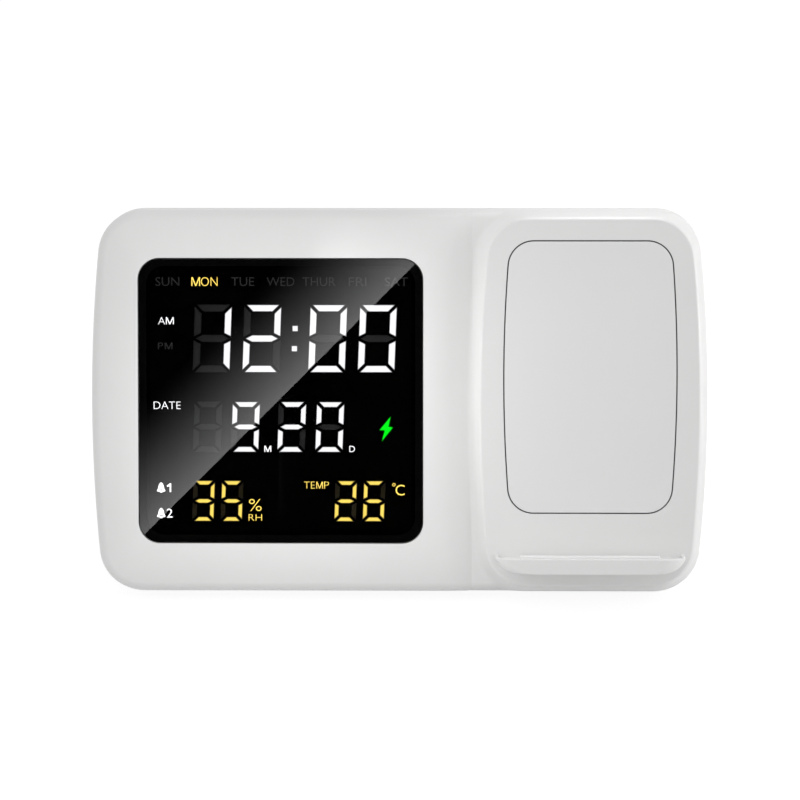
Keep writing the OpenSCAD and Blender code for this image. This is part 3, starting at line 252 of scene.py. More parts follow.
front_shell = front_skin()
cut_past, ceiling_gap, bezel_rim, module_rim_w, module_rim_h = 1.0, 0.2, 12.0, 9.0, 13.2
window_seat_ease, panel_seat_ease, opening_r = 0.3, 0.1, window_r - 1
tool_back = -front_depth - cut_past
module_back = module_proud - panel_t - floor_t
flange_front = -(window_t + tape_t)
flange_back = flange_front - flange_t
bezel_ceiling = -(crown_drop + front_edge_r) - ceiling_gap
panel_pocket = levels_to_loops(lambda g: panel_outline(panel_seam + g),
                               eased_mouth(module_proud - panel_t, module_proud, panel_seat_ease),
                               panel_u, panel_v)
carve(front_shell, [
    stacked("hollow", [at_height(body_ring(wall), z) for z in (tool_back, bezel_ceiling)], on_face),
    boxed_tool(window_w + 2 * bezel_w - bezel_rim, body_h - bezel_rim, window_r, window_u, window_v,
               [(tool_back, 0), (flange_back, 0)]),
    boxed_tool(2 * (panel_u - face_left) - module_rim_w, body_h - module_rim_h, corner_r - wall,
               panel_u, half_h, [(tool_back, 0), (module_back, 0)]),
    boxed_tool(window_w, window_h, window_r, window_u, window_v,
               [(z, g + fit) for z, g in eased_mouth(flange_front, 0.0, window_seat_ease)]),
    boxed_tool(window_w - 2 * flange_w, window_h - 2 * flange_w, opening_r, window_u, window_v,
               [(-front_depth, 0), (-window_t / 2, 0)]),
    stacked("pocket", panel_pocket, on_face),
])
smooth(front_shell, 17.0)


def wire(tree, source, out, target, into):
    """Joins an output of one node to an input of another."""
    tree.links.new(source.outputs[out], target.inputs[into])


def add_sockets(group, direction, sockets):
    """Named sockets of a node group, each with its kind."""
    for name, kind in sockets:
        group.interface.new_socket(name, in_out=direction, socket_type="NodeSocket" + kind)


def set_inputs(node, values):
    """Fixed values of a node's inputs."""
    for socket, value in values.items():
        node.inputs[socket].default_value = value


def moulded_grain_group():
    """Fine moulded grain with slow clouds of shade: colour, roughness and height."""
    group = bpy.data.node_groups.new("moulded_grain", "ShaderNodeTree")
    add_sockets(group, "INPUT", (("Shade", "Color"), ("Light", "Color"), ("Grain", "Float"),
                                 ("Clouds", "Float"), ("Smoothest", "Float"), ("Roughest", "Float")))
    add_sockets(group, "OUTPUT", (("Color", "Color"), ("Roughness", "Float"), ("Height", "Float")))
    nodes = group.nodes
    given, out = nodes.new("NodeGroupInput"), nodes.new("NodeGroupOutput")
    place = nodes.new("ShaderNodeTexCoord")
    fine, clouds = nodes.new("ShaderNodeTexNoise"), nodes.new("ShaderNodeTexNoise")
    set_inputs(fine, {"Detail": 3.0})
    set_inputs(clouds, {"Detail": 4.0})
    mix = nodes.new("ShaderNodeMix")
    mix.data_type = "RGBA"
    spread = nodes.new("ShaderNodeMapRange")
    set_inputs(spread, {"From Min": 0.3, "From Max": 0.7})
    wire(group, place, "Object", fine, "Vector")
    wire(group, place, "Object", clouds, "Vector")
    wire(group, given, "Grain", fine, "Scale")
    wire(group, given, "Clouds", clouds, "Scale")
    wire(group, clouds, "Fac", mix, 0)
    wire(group, given, "Shade", mix, 6)
    wire(group, given, "Light", mix, 7)
    wire(group, fine, "Fac", spread, "Value")
    wire(group, given, "Smoothest", spread, "To Min")
    wire(group, given, "Roughest", spread, "To Max")
    wire(group, mix, 2, out, "Color")
    wire(group, spread, "Result", out, "Roughness")
    wire(group, fine, "Fac", out, "Height")
    return group


moulded_grain = moulded_grain_group()


def new_finish(name):
    """An empty material, its node tree and its main shader."""
    finish = bpy.data.materials.new(name)
    finish.use_nodes = True
    return finish, finish.node_tree, finish.node_tree.nodes["Principled BSDF"]


def moulded_finish(name, shade, light, grain, clouds, smoothest, roughest, bump, depth, metallic=0.0):
    """A finish with its own grain and clouds; a colour given as one level is a grey."""
    finish, tree, shader = new_finish(name)
    group = tree.nodes.new("ShaderNodeGroup")
    group.node_tree = moulded_grain
    shade, light = [(c, c, c, 1) if isinstance(c, float) else (*c, 1) for c in (shade, light)]
    set_inputs(group, {"Shade": shade, "Light": light, "Grain": grain, "Clouds": clouds,
                       "Smoothest": smoothest, "Roughest": roughest})
    relief = tree.nodes.new("ShaderNodeBump")
    set_inputs(relief, {"Strength": bump, "Distance": depth})
    set_inputs(shader, {"Metallic": metallic})
    wire(tree, group, "Color", shader, "Base Color")
    wire(tree, group, "Roughness", shader, "Roughness")
    wire(tree, group, "Height", relief, "Height")
    wire(tree, relief, "Normal", shader, "Normal")
    return finish


def dress(made, finish, slot, body, *nodes):
    """Gives a piece its finish and ties it to its body and the nodes it stands for."""
    made.data.materials.clear()
    made.data.materials.append(finish)
    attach(made, body)
    if nodes:
        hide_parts(*nodes)


shell_white = moulded_finish("satin_white_abs", (0.78, 0.78, 0.775), (0.82, 0.82, 0.815),
                             2600, 45, 0.34, 0.46, 0.12, 0.00003)
dress(front_shell, shell_white, "shell_white", "base", "front_shell")

# Rear shell: the deep half of the housing, moulded in the same white ABS. It wedges from
# the leaning joint to an upright rear wall, which has the button holes, the power inlet,
# the sound and cooling slots, the round cell door and the wells of the four screws.
rear_edge_r = 5.0
joint_top_y = face_y + front_depth * math.cos(lean) + body_h * math.sin(lean)
joint_top_z = foot_proud + body_h * math.cos(lean)
rear_ring_y = rear_y - rear_edge_r
rear_top = joint_top_z - (rear_ring_y - joint_top_y) * math.tan(lean)
rear_mid, rear_half = (rear_top + foot_proud) / 2, (rear_top - foot_proud) / 2
slide_fit, overlap, step_back = 0.25, 1.0, 1.5
button_w, button_h, button_pitch, button_z = 8.0, 5.0, 14.0, 47.0
button_uses = ("set", "up", "down", "alarm", "light")
inlet_w, inlet_h, inlet_z, inlet_inset = 8.94, 3.26, 22.0, 0.4
buzzer_x, sound_ring_r, sound_hole_r = 20.0, 2.6, 0.75
sensor_x, sensor_slot_w, sensor_slot_l, sensor_slot_pitch, sensor_slot_count = -22.0, 1.2, 8.0, 2.2, 4
vent_x, vent_z, vent_w, vent_l, vent_pitch, vent_count = -62.0, 42.0, 1.8, 24.0, 4.5, 7
door_x, door_z, door_r, door_turn = 62.0, 34.0, 12.6, math.radians(60.0)
lug_w, lug_t, lug_out = 7.0, 1.2, 1.4
cell_r, cell_t, contact_t, cup_wall = 10.0, 3.2, 0.3, 1.6
cup_r = door_r + lug_out + slide_fit
door_back = -(wall + 2 * slide_fit + lug_t)
cell_zone = door_back - slide_fit
cup_back = cell_zone - contact_t - cell_t - slide_fit - cup_wall
shell_posts = [(-85.7, 29.45), (86.0, 29.45), (-85.7, 100.0), (86.0, 100.0)]
head_r, screw_seat, well_wall, shank_bore_r = 2.6, 3.0, 1.8, 1.55
slot_ease, hole_ease, sound_ease, notch_in, notch_r = 0.35, 0.4, 0.25, 0.2, 0.6
foot_r, foot_x, foot_seat, front_foot_in, rear_foot_in = 6.0, 70.0, 1.0, 8.0, 13.0
foot_places = [(x * foot_x, y) for x in (-1, 1)
               for y in (face_y + front_depth * math.cos(lean) + front_foot_in, rear_y - rear_foot_in)]


def as_is(points):
    return np.asarray(points, float) * 0.001


def on_rear(points):
    """Rear wall places (right seen from behind, up, out) in millimetres, as row places in metres."""
    p = np.asarray(points, float).reshape(-1, 3)
    return np.c_[-p[:, 0], rear_y + p[:, 2], p[:, 1]] * 0.001


def along_face(points):
    """Steps along the face's own directions in millimetres, as row steps in metres."""
    return on_face(points) - on_face([(0, 0, 0)])[0]


def rear_ring(e, y):
    ring = bowed_outline(half_w - e, rear_half - e, max(corner_r - e, 1.0), side_bow_r - e)[0]
    return np.c_[ring[:, 0], np.full(len(ring), y), ring[:, 1] + rear_mid]


def joint_ring(e, w):
    return on_face(at_height(body_ring(e), w)) * 1000


def rear_skin():
    """Skin of the shell: a rounded rear edge, then straight lines to the leaning joint."""
    loops = []
    for k in range(12, -1, -1):
        q = math.radians(7.5 * k)
        loops.append(rear_ring(rear_edge_r * (1 - math.cos(q)), rear_ring_y + rear_edge_r * math.sin(q)))
    back, joint = loops[-1], joint_ring(0.0, -front_depth)
    for t in (0.2, 0.4, 0.6, 0.8, 0.985):
        loops.append(back + (joint - back) * t)
    loops.append(joint_ring(joint_break, -front_depth))
    return stacked("rear_shell_skin", loops, as_is)


def disc(r, grow=0.0, n=64):
    q = np.linspace(0, 2 * math.pi, n + 1)[:-1]
    return np.c_[(r + grow) * np.cos(q), (r + grow) * np.sin(q)]


def turned(loop, q):
    """Flat outline turned about the origin."""
    x, y = loop.T
    return np.c_[x * math.cos(q) - y * math.sin(q), x * math.sin(q) + y * math.cos(q)]


def post(u, v, r, far):
    """Rod along the face's own direction, from the joint back to the plane y = far."""
    a, b = (disc(r, 0, 32) + [u, v]).T
    back = (face_y + b * math.sin(lean) - far) / math.cos(lean)
    return stacked("post", [np.c_[a, b, back], np.c_[a, b, np.full(len(a), -front_depth)]], on_face)


def joined(name, made):
    """One piece from several separate ones."""
    points, faces = [], []
    for part in made:
        base = len(points)
        points += [tuple(v.co) for v in part.data.vertices]
        faces += [[base + i for i in p.vertices] for p in part.data.polygons]
        bpy.data.objects.remove(part)
    return piece(name, points, faces)


def rear_tool(outline, levels, x, y, name="tool"):
    return stacked(name, levels_to_loops(outline, levels, x, y), on_rear)


def math_node(tree, operation, second=None):
    """A maths node, with its second value set where it is fixed."""
    node = tree.nodes.new("ShaderNodeMath")
    node.operation = operation
    if second is not None:
        node.inputs[1].default_value = second
    return node


def copies_tree(name, sockets):
    """A tree that sets copies of a piece on points, makes them real and gives them a finish."""
    tree = bpy.data.node_groups.new(name, "GeometryNodeTree")
    add_sockets(tree, "INPUT", (("Geometry", "Geometry"), *sockets, ("Finish", "Material")))
    add_sockets(tree, "OUTPUT", (("Geometry", "Geometry"),))
    given, out = tree.nodes.new("NodeGroupInput"), tree.nodes.new("NodeGroupOutput")
    copies = tree.nodes.new("GeometryNodeInstanceOnPoints")
    real = tree.nodes.new("GeometryNodeRealizeInstances")
    finish = tree.nodes.new("GeometryNodeSetMaterial")
    wire(tree, copies, "Instances", real, "Geometry")
    wire(tree, real, "Geometry", finish, "Geometry")
    wire(tree, given, "Finish", finish, "Material")
    wire(tree, finish, "Geometry", out, "Geometry")
    return tree, given, copies


def places_tree():
    """Places copies of one piece on the points of a mesh."""
    tree, given, copies = copies_tree("set_out_on_places", (("Piece", "Object"),))
    source = tree.nodes.new("GeometryNodeObjectInfo")
    wire(tree, given, "Piece", source, "Object")
    wire(tree, given, "Geometry", copies, "Points")
    wire(tree, source, "Geometry", copies, "Instance")
    return tree


def row_tree():
    """Sets copies of one piece out in a straight row, centred on the origin."""
    tree, given, copies = copies_tree("set_out_in_a_row", (("Count", "Int"), ("Pitch", "Float")))
    last = math_node(tree, "SUBTRACT", 1.0)
    length = math_node(tree, "MULTIPLY")
    back = math_node(tree, "MULTIPLY", -0.5)
    start, offset = tree.nodes.new("ShaderNodeCombineXYZ"), tree.nodes.new("ShaderNodeCombineXYZ")
    line = tree.nodes.new("GeometryNodeMeshLine")
    wire(tree, given, "Count", last, 0)
    wire(tree, last, 0, length, 0)
    wire(tree, given, "Pitch", length, 1)
    wire(tree, length, 0, back, 0)
    wire(tree, back, 0, start, "X")
    wire(tree, given, "Pitch", offset, "X")
    wire(tree, given, "Count", line, "Count")
    wire(tree, start, 0, line, "Start Location")
    wire(tree, offset, 0, line, "Offset")
    wire(tree, line, "Mesh", copies, "Points")
    wire(tree, given, "Geometry", copies, "Instance")
    return tree


set_out_on_places, set_out_in_a_row = places_tree(), row_tree()


def set_out(made, tree, values):
    """Runs a tree of copies on a piece with its own values and keeps the result as a plain mesh."""
    step = made.modifiers.new("set_out", "NODES")
    step.node_group = tree
    sockets = {s.name: s.identifier for s in tree.interface.items_tree if s.in_out == "INPUT"}
    for name, value in values.items():
        if value is not None:
            step[sockets[name]] = value
    bpy.context.view_layer.update()
    plain_mesh(made)


def set_on(name, source, places, finish=None):
    """Copies of a piece, modelled at the origin, set out on places given in metres."""
    made = piece(name, places, [])
    set_out(made, set_out_on_places, {"Piece": source, "Finish": finish})
    bpy.data.objects.remove(source)
    return made


def row_of(made, count, pitch, x=0.0, finish=None):
    """Turns one piece into a row along the rear wall, round a place x; sizes in millimetres."""
    set_out(made, set_out_in_a_row, {"Count": count, "Pitch": pitch * 0.001, "Finish": finish})
    made.data.transform(Matrix.Translation((-x * 0.001, 0, 0)))
    return made


def through_wall(ease):
    return eased_mouth(-wall - cut_past, 0.0, ease)


rear_shell = rear_skin()
carve(rear_shell, [stacked("hollow", [
    rear_ring(2 * wall, rear_y - wall), rear_ring(wall, rear_y - 2 * wall),
    joint_ring(wall + fit + overlap, -front_depth - step_back),
    joint_ring(wall + fit + overlap, 2 * step_back - front_depth)], as_is)])
cup = rear_tool(lambda g: disc(cup_r + cup_wall, g), [(cup_back, 0), (-wall / 2, 0)], door_x, door_z)
wells = [post(u, v, head_r + well_wall, rear_y - wall / 2) for u, v in shell_posts]
carve(rear_shell, [joined("posts", wells + [cup])], "UNION")

vents = row_of(rear_tool(lambda g: round_box(vent_w, vent_l, vent_w / 2, g, 6),
                         through_wall(slot_ease), 0, vent_z), vent_count, vent_pitch, vent_x)
sensor_slots = row_of(rear_tool(lambda g: round_box(sensor_slot_w, sensor_slot_l, sensor_slot_w / 2, g, 6),
                                through_wall(slot_ease), 0, inlet_z),
                      sensor_slot_count, sensor_slot_pitch, sensor_x)
button_holes = row_of(rear_tool(lambda g: round_box(button_w, button_h, button_h / 2, g + slide_fit, 12),
                                through_wall(hole_ease), 0, button_z), len(button_uses), button_pitch)
sound_places = [(0.0, 0.0)] + [(sound_ring_r * math.cos(q), sound_ring_r * math.sin(q))
                               for q in np.radians(range(0, 360, 60))]
sound_hole = rear_tool(lambda g: disc(sound_hole_r, g, 24), through_wall(sound_ease), 0, 0)
sound_hole.data.transform(Matrix.Translation((0, -rear_y * 0.001, 0)))
sound_holes = set_on("sound_holes", sound_hole,
                     on_rear([(buzzer_x + x, inlet_z + y, 0) for x, y in sound_places]))
inlet_hole = rear_tool(lambda g: round_box(inlet_w, inlet_h, inlet_h / 2, g + fit, 12),
                       through_wall(hole_ease), 0, inlet_z)
door_hole = rear_tool(lambda g: disc(door_r + slide_fit, g, 96), through_wall(hole_ease), door_x, door_z)
well_bores = [post(u, v, head_r + 2 * slide_fit, rear_y + 3 * cut_past) for u, v in shell_posts]
for bore in well_bores:
    bore.data.transform(Matrix.Translation(along_face([(0, 0, -screw_seat)])[0]))
shank_bores = [stacked("bore", [at_height(disc(shank_bore_r, 0, 24) + [u, v], z)
                                for z in (tool_back - screw_seat, cut_past)], on_face)
               for u, v in shell_posts]
foot_seats = [stacked("seat", [at_height(disc(foot_r + fit, 0, 48) + [x, y], z)
                               for z in (foot_proud - cut_past, foot_proud + foot_seat)], as_is)
              for x, y in foot_places]
notch = turned(round_box(2 * cup_r - notch_in, lug_w + 4 * slide_fit, notch_r, 0.0, 4), door_turn)
carve(rear_shell, [
    joined("openings", [vents, sensor_slots, button_holes, sound_holes, inlet_hole, door_hole]
           + well_bores + foot_seats),
    joined("bores", shank_bores),
    rear_tool(lambda g: disc(cup_r, g), [(cell_zone, 0), (-wall, 0)], door_x, door_z),
    rear_tool(lambda g: disc(cell_r + slide_fit, g), [(cup_back + cup_wall, 0), (cell_zone + cut_past, 0)],
              door_x, door_z),
    rear_tool(lambda g: notch, [(-wall - cut_past, 0), (cut_past, 0)], door_x, door_z),
])
smooth(rear_shell)
dress(rear_shell, shell_white, "shell_white", "base", "rear_shell")

# Display window: a plate of smoked acrylic with polished faces and a broken edge,
# bonded flush into the bezel with a frame of black tape.
edge_break = 0.2
window_levels = [(-window_t, -edge_break), (-window_t + edge_break, 0.0), (-edge_break, 0.0), (-0.1, -0.04),
                 (-0.03, -0.1), (0.0, -0.18), (0.0, -0.22)]
display_window = stacked("smoked_window", levels_to_loops(
    lambda g: round_box(window_w, window_h, window_r, g), window_levels, window_u, window_v), on_face)
smooth(display_window, 25)


def smoked_finish():
    """Tinted clear acrylic with a trace of uneven haze."""
    finish, tree, shader = new_finish("smoked_acrylic")
    set_inputs(shader, {"Base Color": (0.16, 0.16, 0.165, 1), "Transmission Weight": 1.0, "IOR": 1.49})
    place = tree.nodes.new("ShaderNodeTexCoord")
    haze = tree.nodes.new("ShaderNodeTexNoise")
    set_inputs(haze, {"Scale": 35.0, "Detail": 5.0})
    spread = tree.nodes.new("ShaderNodeMapRange")
    set_inputs(spread, {"To Min": 0.0, "To Max": 0.004})
    wire(tree, place, "Object", haze, "Vector")
    wire(tree, haze, "Fac", spread, "Value")
    wire(tree, spread, "Result", shader, "Roughness")
    return finish


dress(display_window, smoked_finish(), "window_smoke", "base", "display_window")

# Seven-segment figures: milky polycarbonate diffusers in the wells of a black reflector.
# Those that are lit glow white or amber, and the rest show as dark grey bars with a faint painted glow.
film_gap, segment_t, segment_gap, digit_slant = 0.4, 3.0, 0.55, math.radians(2.2)
reflector_front = -(window_t + film_gap)
# The unlit bars get a faint painted glow: painted light that lightens them beyond what reaches them through
# the window.
dark_edge, soft_edge, unlit_painted_glow, dot_w, dot_rise = 0.09, 0.28, 0.01, 1.9, 3.1
lit_bars = {" ": "", "0": "012345", "1": "12", "2": "01346", "3": "01236", "5": "02356", "6": "023456",
            "9": "012356"}


def anticlockwise(points):
    """Outline turned round if it runs clockwise."""
    loop = np.array(points, float)
    area = np.sum(loop[:, 0] * np.roll(loop[:, 1], -1) - loop[:, 1] * np.roll(loop[:, 0], -1))
    return loop if area > 0 else loop[::-1]


def bar_outline(w, h, t, k):
    """One of the seven bars of a figure, from 0 at the top round to 5, with 6 in the middle."""
    x, y, g = w / 2, h / 2, segment_gap
    if k in (0, 3):
        shape = [(g - x, y), (x - g, y), (x - t - g, y - t), (t + g - x, y - t)]
    elif k == 6:
        shape = [(g - x, 0), (t + g - x, t / 2), (x - t - g, t / 2), (x - g, 0),
                 (x - t - g, -t / 2), (t + g - x, -t / 2)]
    else:
        shape = [(x, y - g), (x - t, y - t - g), (x - t, t / 2 + g), (x, g)]
    flip = np.array([-1 if k in (4, 5) else 1, -1 if k in (2, 3, 4) else 1])
    loop = anticlockwise(np.array(shape, float) * flip)
    loop[:, 0] += loop[:, 1] * math.tan(digit_slant)
    return loop


def drawn_in(loop, d):
    """Convex anticlockwise outline with every side moved in by a distance."""
    ahead = np.roll(loop, -1, axis=0) - loop
    ahead = ahead / np.linalg.norm(ahead, axis=1)[:, None]
    behind = np.roll(ahead, 1, axis=0)
    inward = np.c_[-ahead[:, 1], ahead[:, 0]] + np.c_[-behind[:, 1], behind[:, 0]]
    return loop + inward * (d / (1 + np.sum(ahead * behind, axis=1)))[:, None]


def diffuser(loop, u, v, level):
    """A bar whose glow fades out just inside its edge, with the lit values of its points."""
    loops = [at_height(drawn_in(loop, d) + [window_u + u, window_v + v], z)
             for d, z in ((0.0, reflector_front - segment_t), (0.0, reflector_front),
                          (dark_edge, reflector_front), (soft_edge, reflector_front))]
    return stacked("bar", loops, on_face), [0.0] * (3 * len(loop)) + [level] * len(loop)


def store_values(made, name, values):
    """Keeps one value for every point of a piece, for its material to read."""
    made.data.attributes.new(name, "FLOAT", "POINT").data.foreach_set("value", values)


def figure_row(name, text, places, row, size, dots):
    """A row of figures with a lit value stored on every point."""
    bars = []
    for figure, x in zip(text, places):
        for k in range(7):
            # Unlit bars keep a faint painted glow.
            level = 1.0 if str(k) in lit_bars[figure] else unlit_painted_glow
            bars.append(diffuser(bar_outline(*size, k), x, row, level))
    for x, y in dots:
        square = dot_w / 2 * np.array([(1, 1), (-1, 1), (-1, -1), (1, -1)])
        bars.append(diffuser(square, x, y, 1.0))
    values = [value for _, levels in bars for value in levels]
    figures = joined(name, [part for part, _ in bars])
    store_values(figures, "lit", values)
    return figures


def glowing_finish(name, colour, strength, unlit):
    """A diffuser that glows where its points are lit and is plain milky plastic elsewhere."""
    finish, tree, shader = new_finish(name)
    set_inputs(shader, {"Base Color": (*unlit, 1), "Emission Strength": strength})
    lit = tree.nodes.new("ShaderNodeAttribute")
    lit.attribute_name = "lit"
    place = tree.nodes.new("ShaderNodeTexCoord")
    milk = tree.nodes.new("ShaderNodeTexNoise")
    set_inputs(milk, {"Scale": 900.0})
    spread, rough = tree.nodes.new("ShaderNodeMapRange"), tree.nodes.new("ShaderNodeMapRange")
    set_inputs(spread, {"To Min": 0.9, "To Max": 1.05})
    set_inputs(rough, {"To Min": 0.45, "To Max": 0.65})
    level = math_node(tree, "MULTIPLY")
    mix = tree.nodes.new("ShaderNodeMix")
    mix.data_type = "RGBA"
    set_inputs(mix, {6: (0, 0, 0, 1), 7: (*colour, 1)})
    wire(tree, place, "Object", milk, "Vector")
    wire(tree, milk, "Fac", spread, "Value")
    wire(tree, milk, "Fac", rough, "Value")
    wire(tree, spread, "Result", level, 0)
    wire(tree, lit, "Fac", level, 1)
    wire(tree, level, 0, mix, 0)
    wire(tree, mix, 2, shader, "Emission Color")
    wire(tree, rough, "Result", shader, "Roughness")
    return finish


white_light, amber_light = (1.0, 1.0, 1.0), (1.0, 0.74, 0.128)
milky_white, milky_amber = (0.68, 0.68, 0.68), (0.60, 0.60, 0.58)
segment_white = glowing_finish("white_diffuser", white_light, 7.0, milky_white)
segment_amber = glowing_finish("amber_diffuser", amber_light, 7.4, milky_amber)
time_row, date_row, climate_row = 19.15, -8.1, -31.0
time_size, date_size, climate_size = (11.5, 20.9, 2.2), (8.6, 15.6, 1.75), (6.7, 12.6, 1.4)
time_places = [-21.05, -5.8, 14.45, 29.7]
date_places = [-22.6, -10.9, 3.35, 15.05]
colon_u = (time_places[1] + time_places[2]) / 2
colon_dots = [(colon_u + s * dot_rise * math.tan(digit_slant), time_row + s * dot_rise) for s in (-1, 1)]
for kind, text, places, row, size, finish, slot, dots in (
        ("time", "1200", time_places, time_row, time_size, segment_white, "segment_white", colon_dots),
        ("date", " 920", date_places, date_row, date_size, segment_white, "segment_white", ()),
        ("humidity", "35", [-23.9, -15.15], climate_row, climate_size, segment_amber, "segment_amber", ()),
        ("temperature", "26", [19.9, 28.65], climate_row, climate_size, segment_amber, "segment_amber", ())):
    figures = figure_row(kind + "_figures", text, places, row, size, dots)
    dress(figures, finish, slot, "base", kind + "_digits")

# Legends: a printed film on the face of the reflector, with clear words and signs that
# glow when their lamp is on. The days that are off stay dark grey under a faint painted glow.
film_t, film_lift = 0.03, 0.01


def legend(text, left, right, low, high, weight=0.0):
    """Flat lettering fitted to a box given from the middle of the window, in millimetres."""
    curve = bpy.data.curves.new("legend", "FONT")
    curve.body = text
    curve.size = 1.0
    curve.offset = weight
    curve.resolution_u = 3
    words = bpy.data.objects.new("legend", curve)
    scene.collection.objects.link(words)
    bpy.context.view_layer.update()
    graph = bpy.context.evaluated_depsgraph_get()
    mesh = bpy.data.meshes.new_from_object(words.evaluated_get(graph), depsgraph=graph)
    bpy.data.objects.remove(words)
    flat = np.array([v.co[:2] for v in mesh.vertices])
    faces = [list(p.vertices) for p in mesh.polygons]
    bpy.data.meshes.remove(mesh)
    span = flat.max(0) - flat.min(0)
    flat = (flat - flat.min(0)) / span * [right - left, high - low] + [left, low]
    return flat, faces


def film(name, parts):
    """One thin closed film from flat parts, lit all over."""
    made = []
    for flat, faces in parts:
        n = len(flat)
        back = reflector_front + film_lift
        sides = [at_height(flat + [window_u, window_v], z) for z in (back + film_t, back)]
        shell = [list(f) for f in faces] + [[i + n for i in f[::-1]] for f in faces]
        edges = {(a, b): True for f in faces for a, b in zip(f, f[1:] + f[:1])}
        shell += [[b, a, a + n, b + n] for a, b in edges if (b, a) not in edges]
        made.append(piece("film", on_face(np.concatenate(sides)), shell))
    whole = joined(name, made)
    store_values(whole, "lit", [1.0] * len(whole.data.vertices))
    return whole


def sign(points):
    loop = anticlockwise(points)
    return loop, [list(range(len(loop)))]


def bell(left, right, low, high):
    """A hand bell with a dome, a flared rim, a clapper and a slot over the clapper."""
    dome = [(0.07, 0.985), (0.14, 0.93), (0.22, 0.84), (0.29, 0.72), (0.33, 0.58), (0.36, 0.45),
            (0.40, 0.36), (0.47, 0.27)]
    rim = [(0.50, 0.22), (0.48, 0.15), (0.40, 0.12), (0.25, 0.09), (0.17, 0.08), (0.12, 0.03)]
    slot = [(0.22, 0.27), (0.12, 0.31), (-0.12, 0.31), (-0.22, 0.27), (-0.12, 0.225), (0.12, 0.225)]
    left_dome, left_rim = [(-x, y) for x, y in dome], [(-x, y) for x, y in rim]
    points = [(0.0, 1.0)] + left_dome + left_rim + [(0.0, 0.0)] + rim[::-1] + dome[::-1] + slot
    d, r = len(dome), len(rim)
    right_end = d + 2 * r + 2
    first = 2 * (d + r) + 2
    upper = list(range(d + 1)) + [first + 3, first + 2, first + 1, first] + list(range(right_end, first))
    lower = list(range(d, right_end + 1)) + [first, first + 5, first + 4, first + 3]
    placed = [(left + (0.5 + x) * (right - left), low + y * (high - low)) for x, y in points]
    return np.array(placed), [upper, lower]


def capital_m(left, right, low, high, stem):
    """Capital M with upright stems of a given width."""
    middle = (left + right) / 2
    half = [(left, low), (left, high), (left + 1.4 * stem, high)]
    inner = [(middle - 0.55 * stem, low), (left + stem, high - 1.8 * stem), (left + stem, low)]
    mirror = [(2 * middle - x, y) for x, y in half[::-1]]
    inner_mirror = [(2 * middle - x, y) for x, y in inner[::-1]]
    return sign(half + [(middle, low + 1.5 * stem)] + mirror + inner_mirror + inner)


def figure_one(left, right, low, high, stem):
    """Figure 1 with a flag and no foot."""
    rise = high - low
    return sign([(right - stem, low), (right, low), (right, high), (right - 0.8 * stem, high),
                 (left, high - 0.25 * rise), (left, high - 0.25 * rise - 0.9 * stem),
                 (right - stem, high - 0.32 * rise)])


day_line, am_line, pm_line, date_line = (35.3, 38.0), (23.5, 25.7), (15.8, 17.9), (-2.6, -0.3)
month_line, heat_line = (-15.8, -13.9), (-27.1, -25.0)
dim_words = [legend(day, left, right, *day_line) for day, left, right in (
    ("SUN", -38.5, -31.1), ("TUE", -15.2, -8.1), ("WED", -4.3, 4.3), ("THUR", 6.7, 16.9),
    ("FRI", 20.9, 26.4), ("SAT", 32.0, 39.1))]
dim_words += [legend("P", -37.8, -36.2, *pm_line), capital_m(-35.7, -33.3, *pm_line, 0.34)]
white_words = [legend("A", -37.7, -35.6, *am_line, -0.018), capital_m(-35.3, -32.9, *am_line, 0.26),
               legend("DATE", -39.2, -30.9, *date_line, -0.015),
               capital_m(-5.1, -3.0, *month_line, 0.28), legend("D", 21.1, 22.8, *month_line, -0.007),
               bell(-38.3, -35.7, -28.5, -25.3), bell(-38.3, -35.7, -36.4, -33.2),
               figure_one(-35.2, -33.9, -28.3, -25.6, 0.48), legend("2", -35.3, -33.5, -36.2, -33.4)]
amber_words = [capital_m(-27.4, -24.75, *day_line, 0.29), legend("ON", -24.5, -19.4, *day_line, -0.017),
               legend("%", -9.9, -6.0, -34.1, -30.4, -0.012), legend("RH", -10.0, -5.9, -37.1, -35.1, -0.018),
               legend("TE", 7.1, 10.4, *heat_line, -0.020), capital_m(10.9, 12.9, *heat_line, 0.21),
               legend("P", 13.3, 14.8, *heat_line, -0.020),
               legend("C", 35.3, 38.1, -29.2, -25.9, -0.007), legend("o", 34.3, 35.3, -26.4, -25.4)]
bolt = sign([(33.8, -4.9), (30.4, -9.0), (32.0, -9.1), (31.1, -12.4), (34.5, -8.2), (33.1, -8.0)])
legend_grey_painted_glow = moulded_finish("unlit_print", 0.60, 0.66, 1500, 200, 0.5, 0.7, 0.05, 0.00001)
# Faint white painted glow on the unlit print, lightening it beyond the light that reaches it.
set_inputs(legend_grey_painted_glow.node_tree.nodes["Principled BSDF"],
           {"Emission Color": (1, 1, 1, 1), "Emission Strength": 0.1})
legend_white = glowing_finish("white_legend", white_light, 9.6, milky_white)
legend_amber = glowing_finish("amber_legend", (1.0, 0.72, 0.125), 10.0, milky_amber)
legend_green = glowing_finish("green_lamp", (0.0, 1.0, 0.01), 7.0, (0.3, 0.5, 0.3))
dress(film("unlit_days", dim_words), legend_grey_painted_glow, "segment_white", "base")
dress(film("lit_words", white_words), legend_white, "segment_white", "base")
dress(film("amber_words", amber_words), legend_amber, "segment_amber", "base")
dress(film("charging_bolt", [bolt]), legend_green, "segment_white", "base")

# Charging panel: a thin white polycarbonate plate bonded flush in the module face,
# inside a narrow seam. The coil sits right behind it.
panel_edge_r, panel_flat_in = 0.1, 0.8


def rounded_edge(top, r, angles):
    """Levels of an edge rounded to a radius, up to its top."""
    return [(top - r + r * math.sin(q), -r * (1 - math.cos(q))) for q in np.radians(angles)]


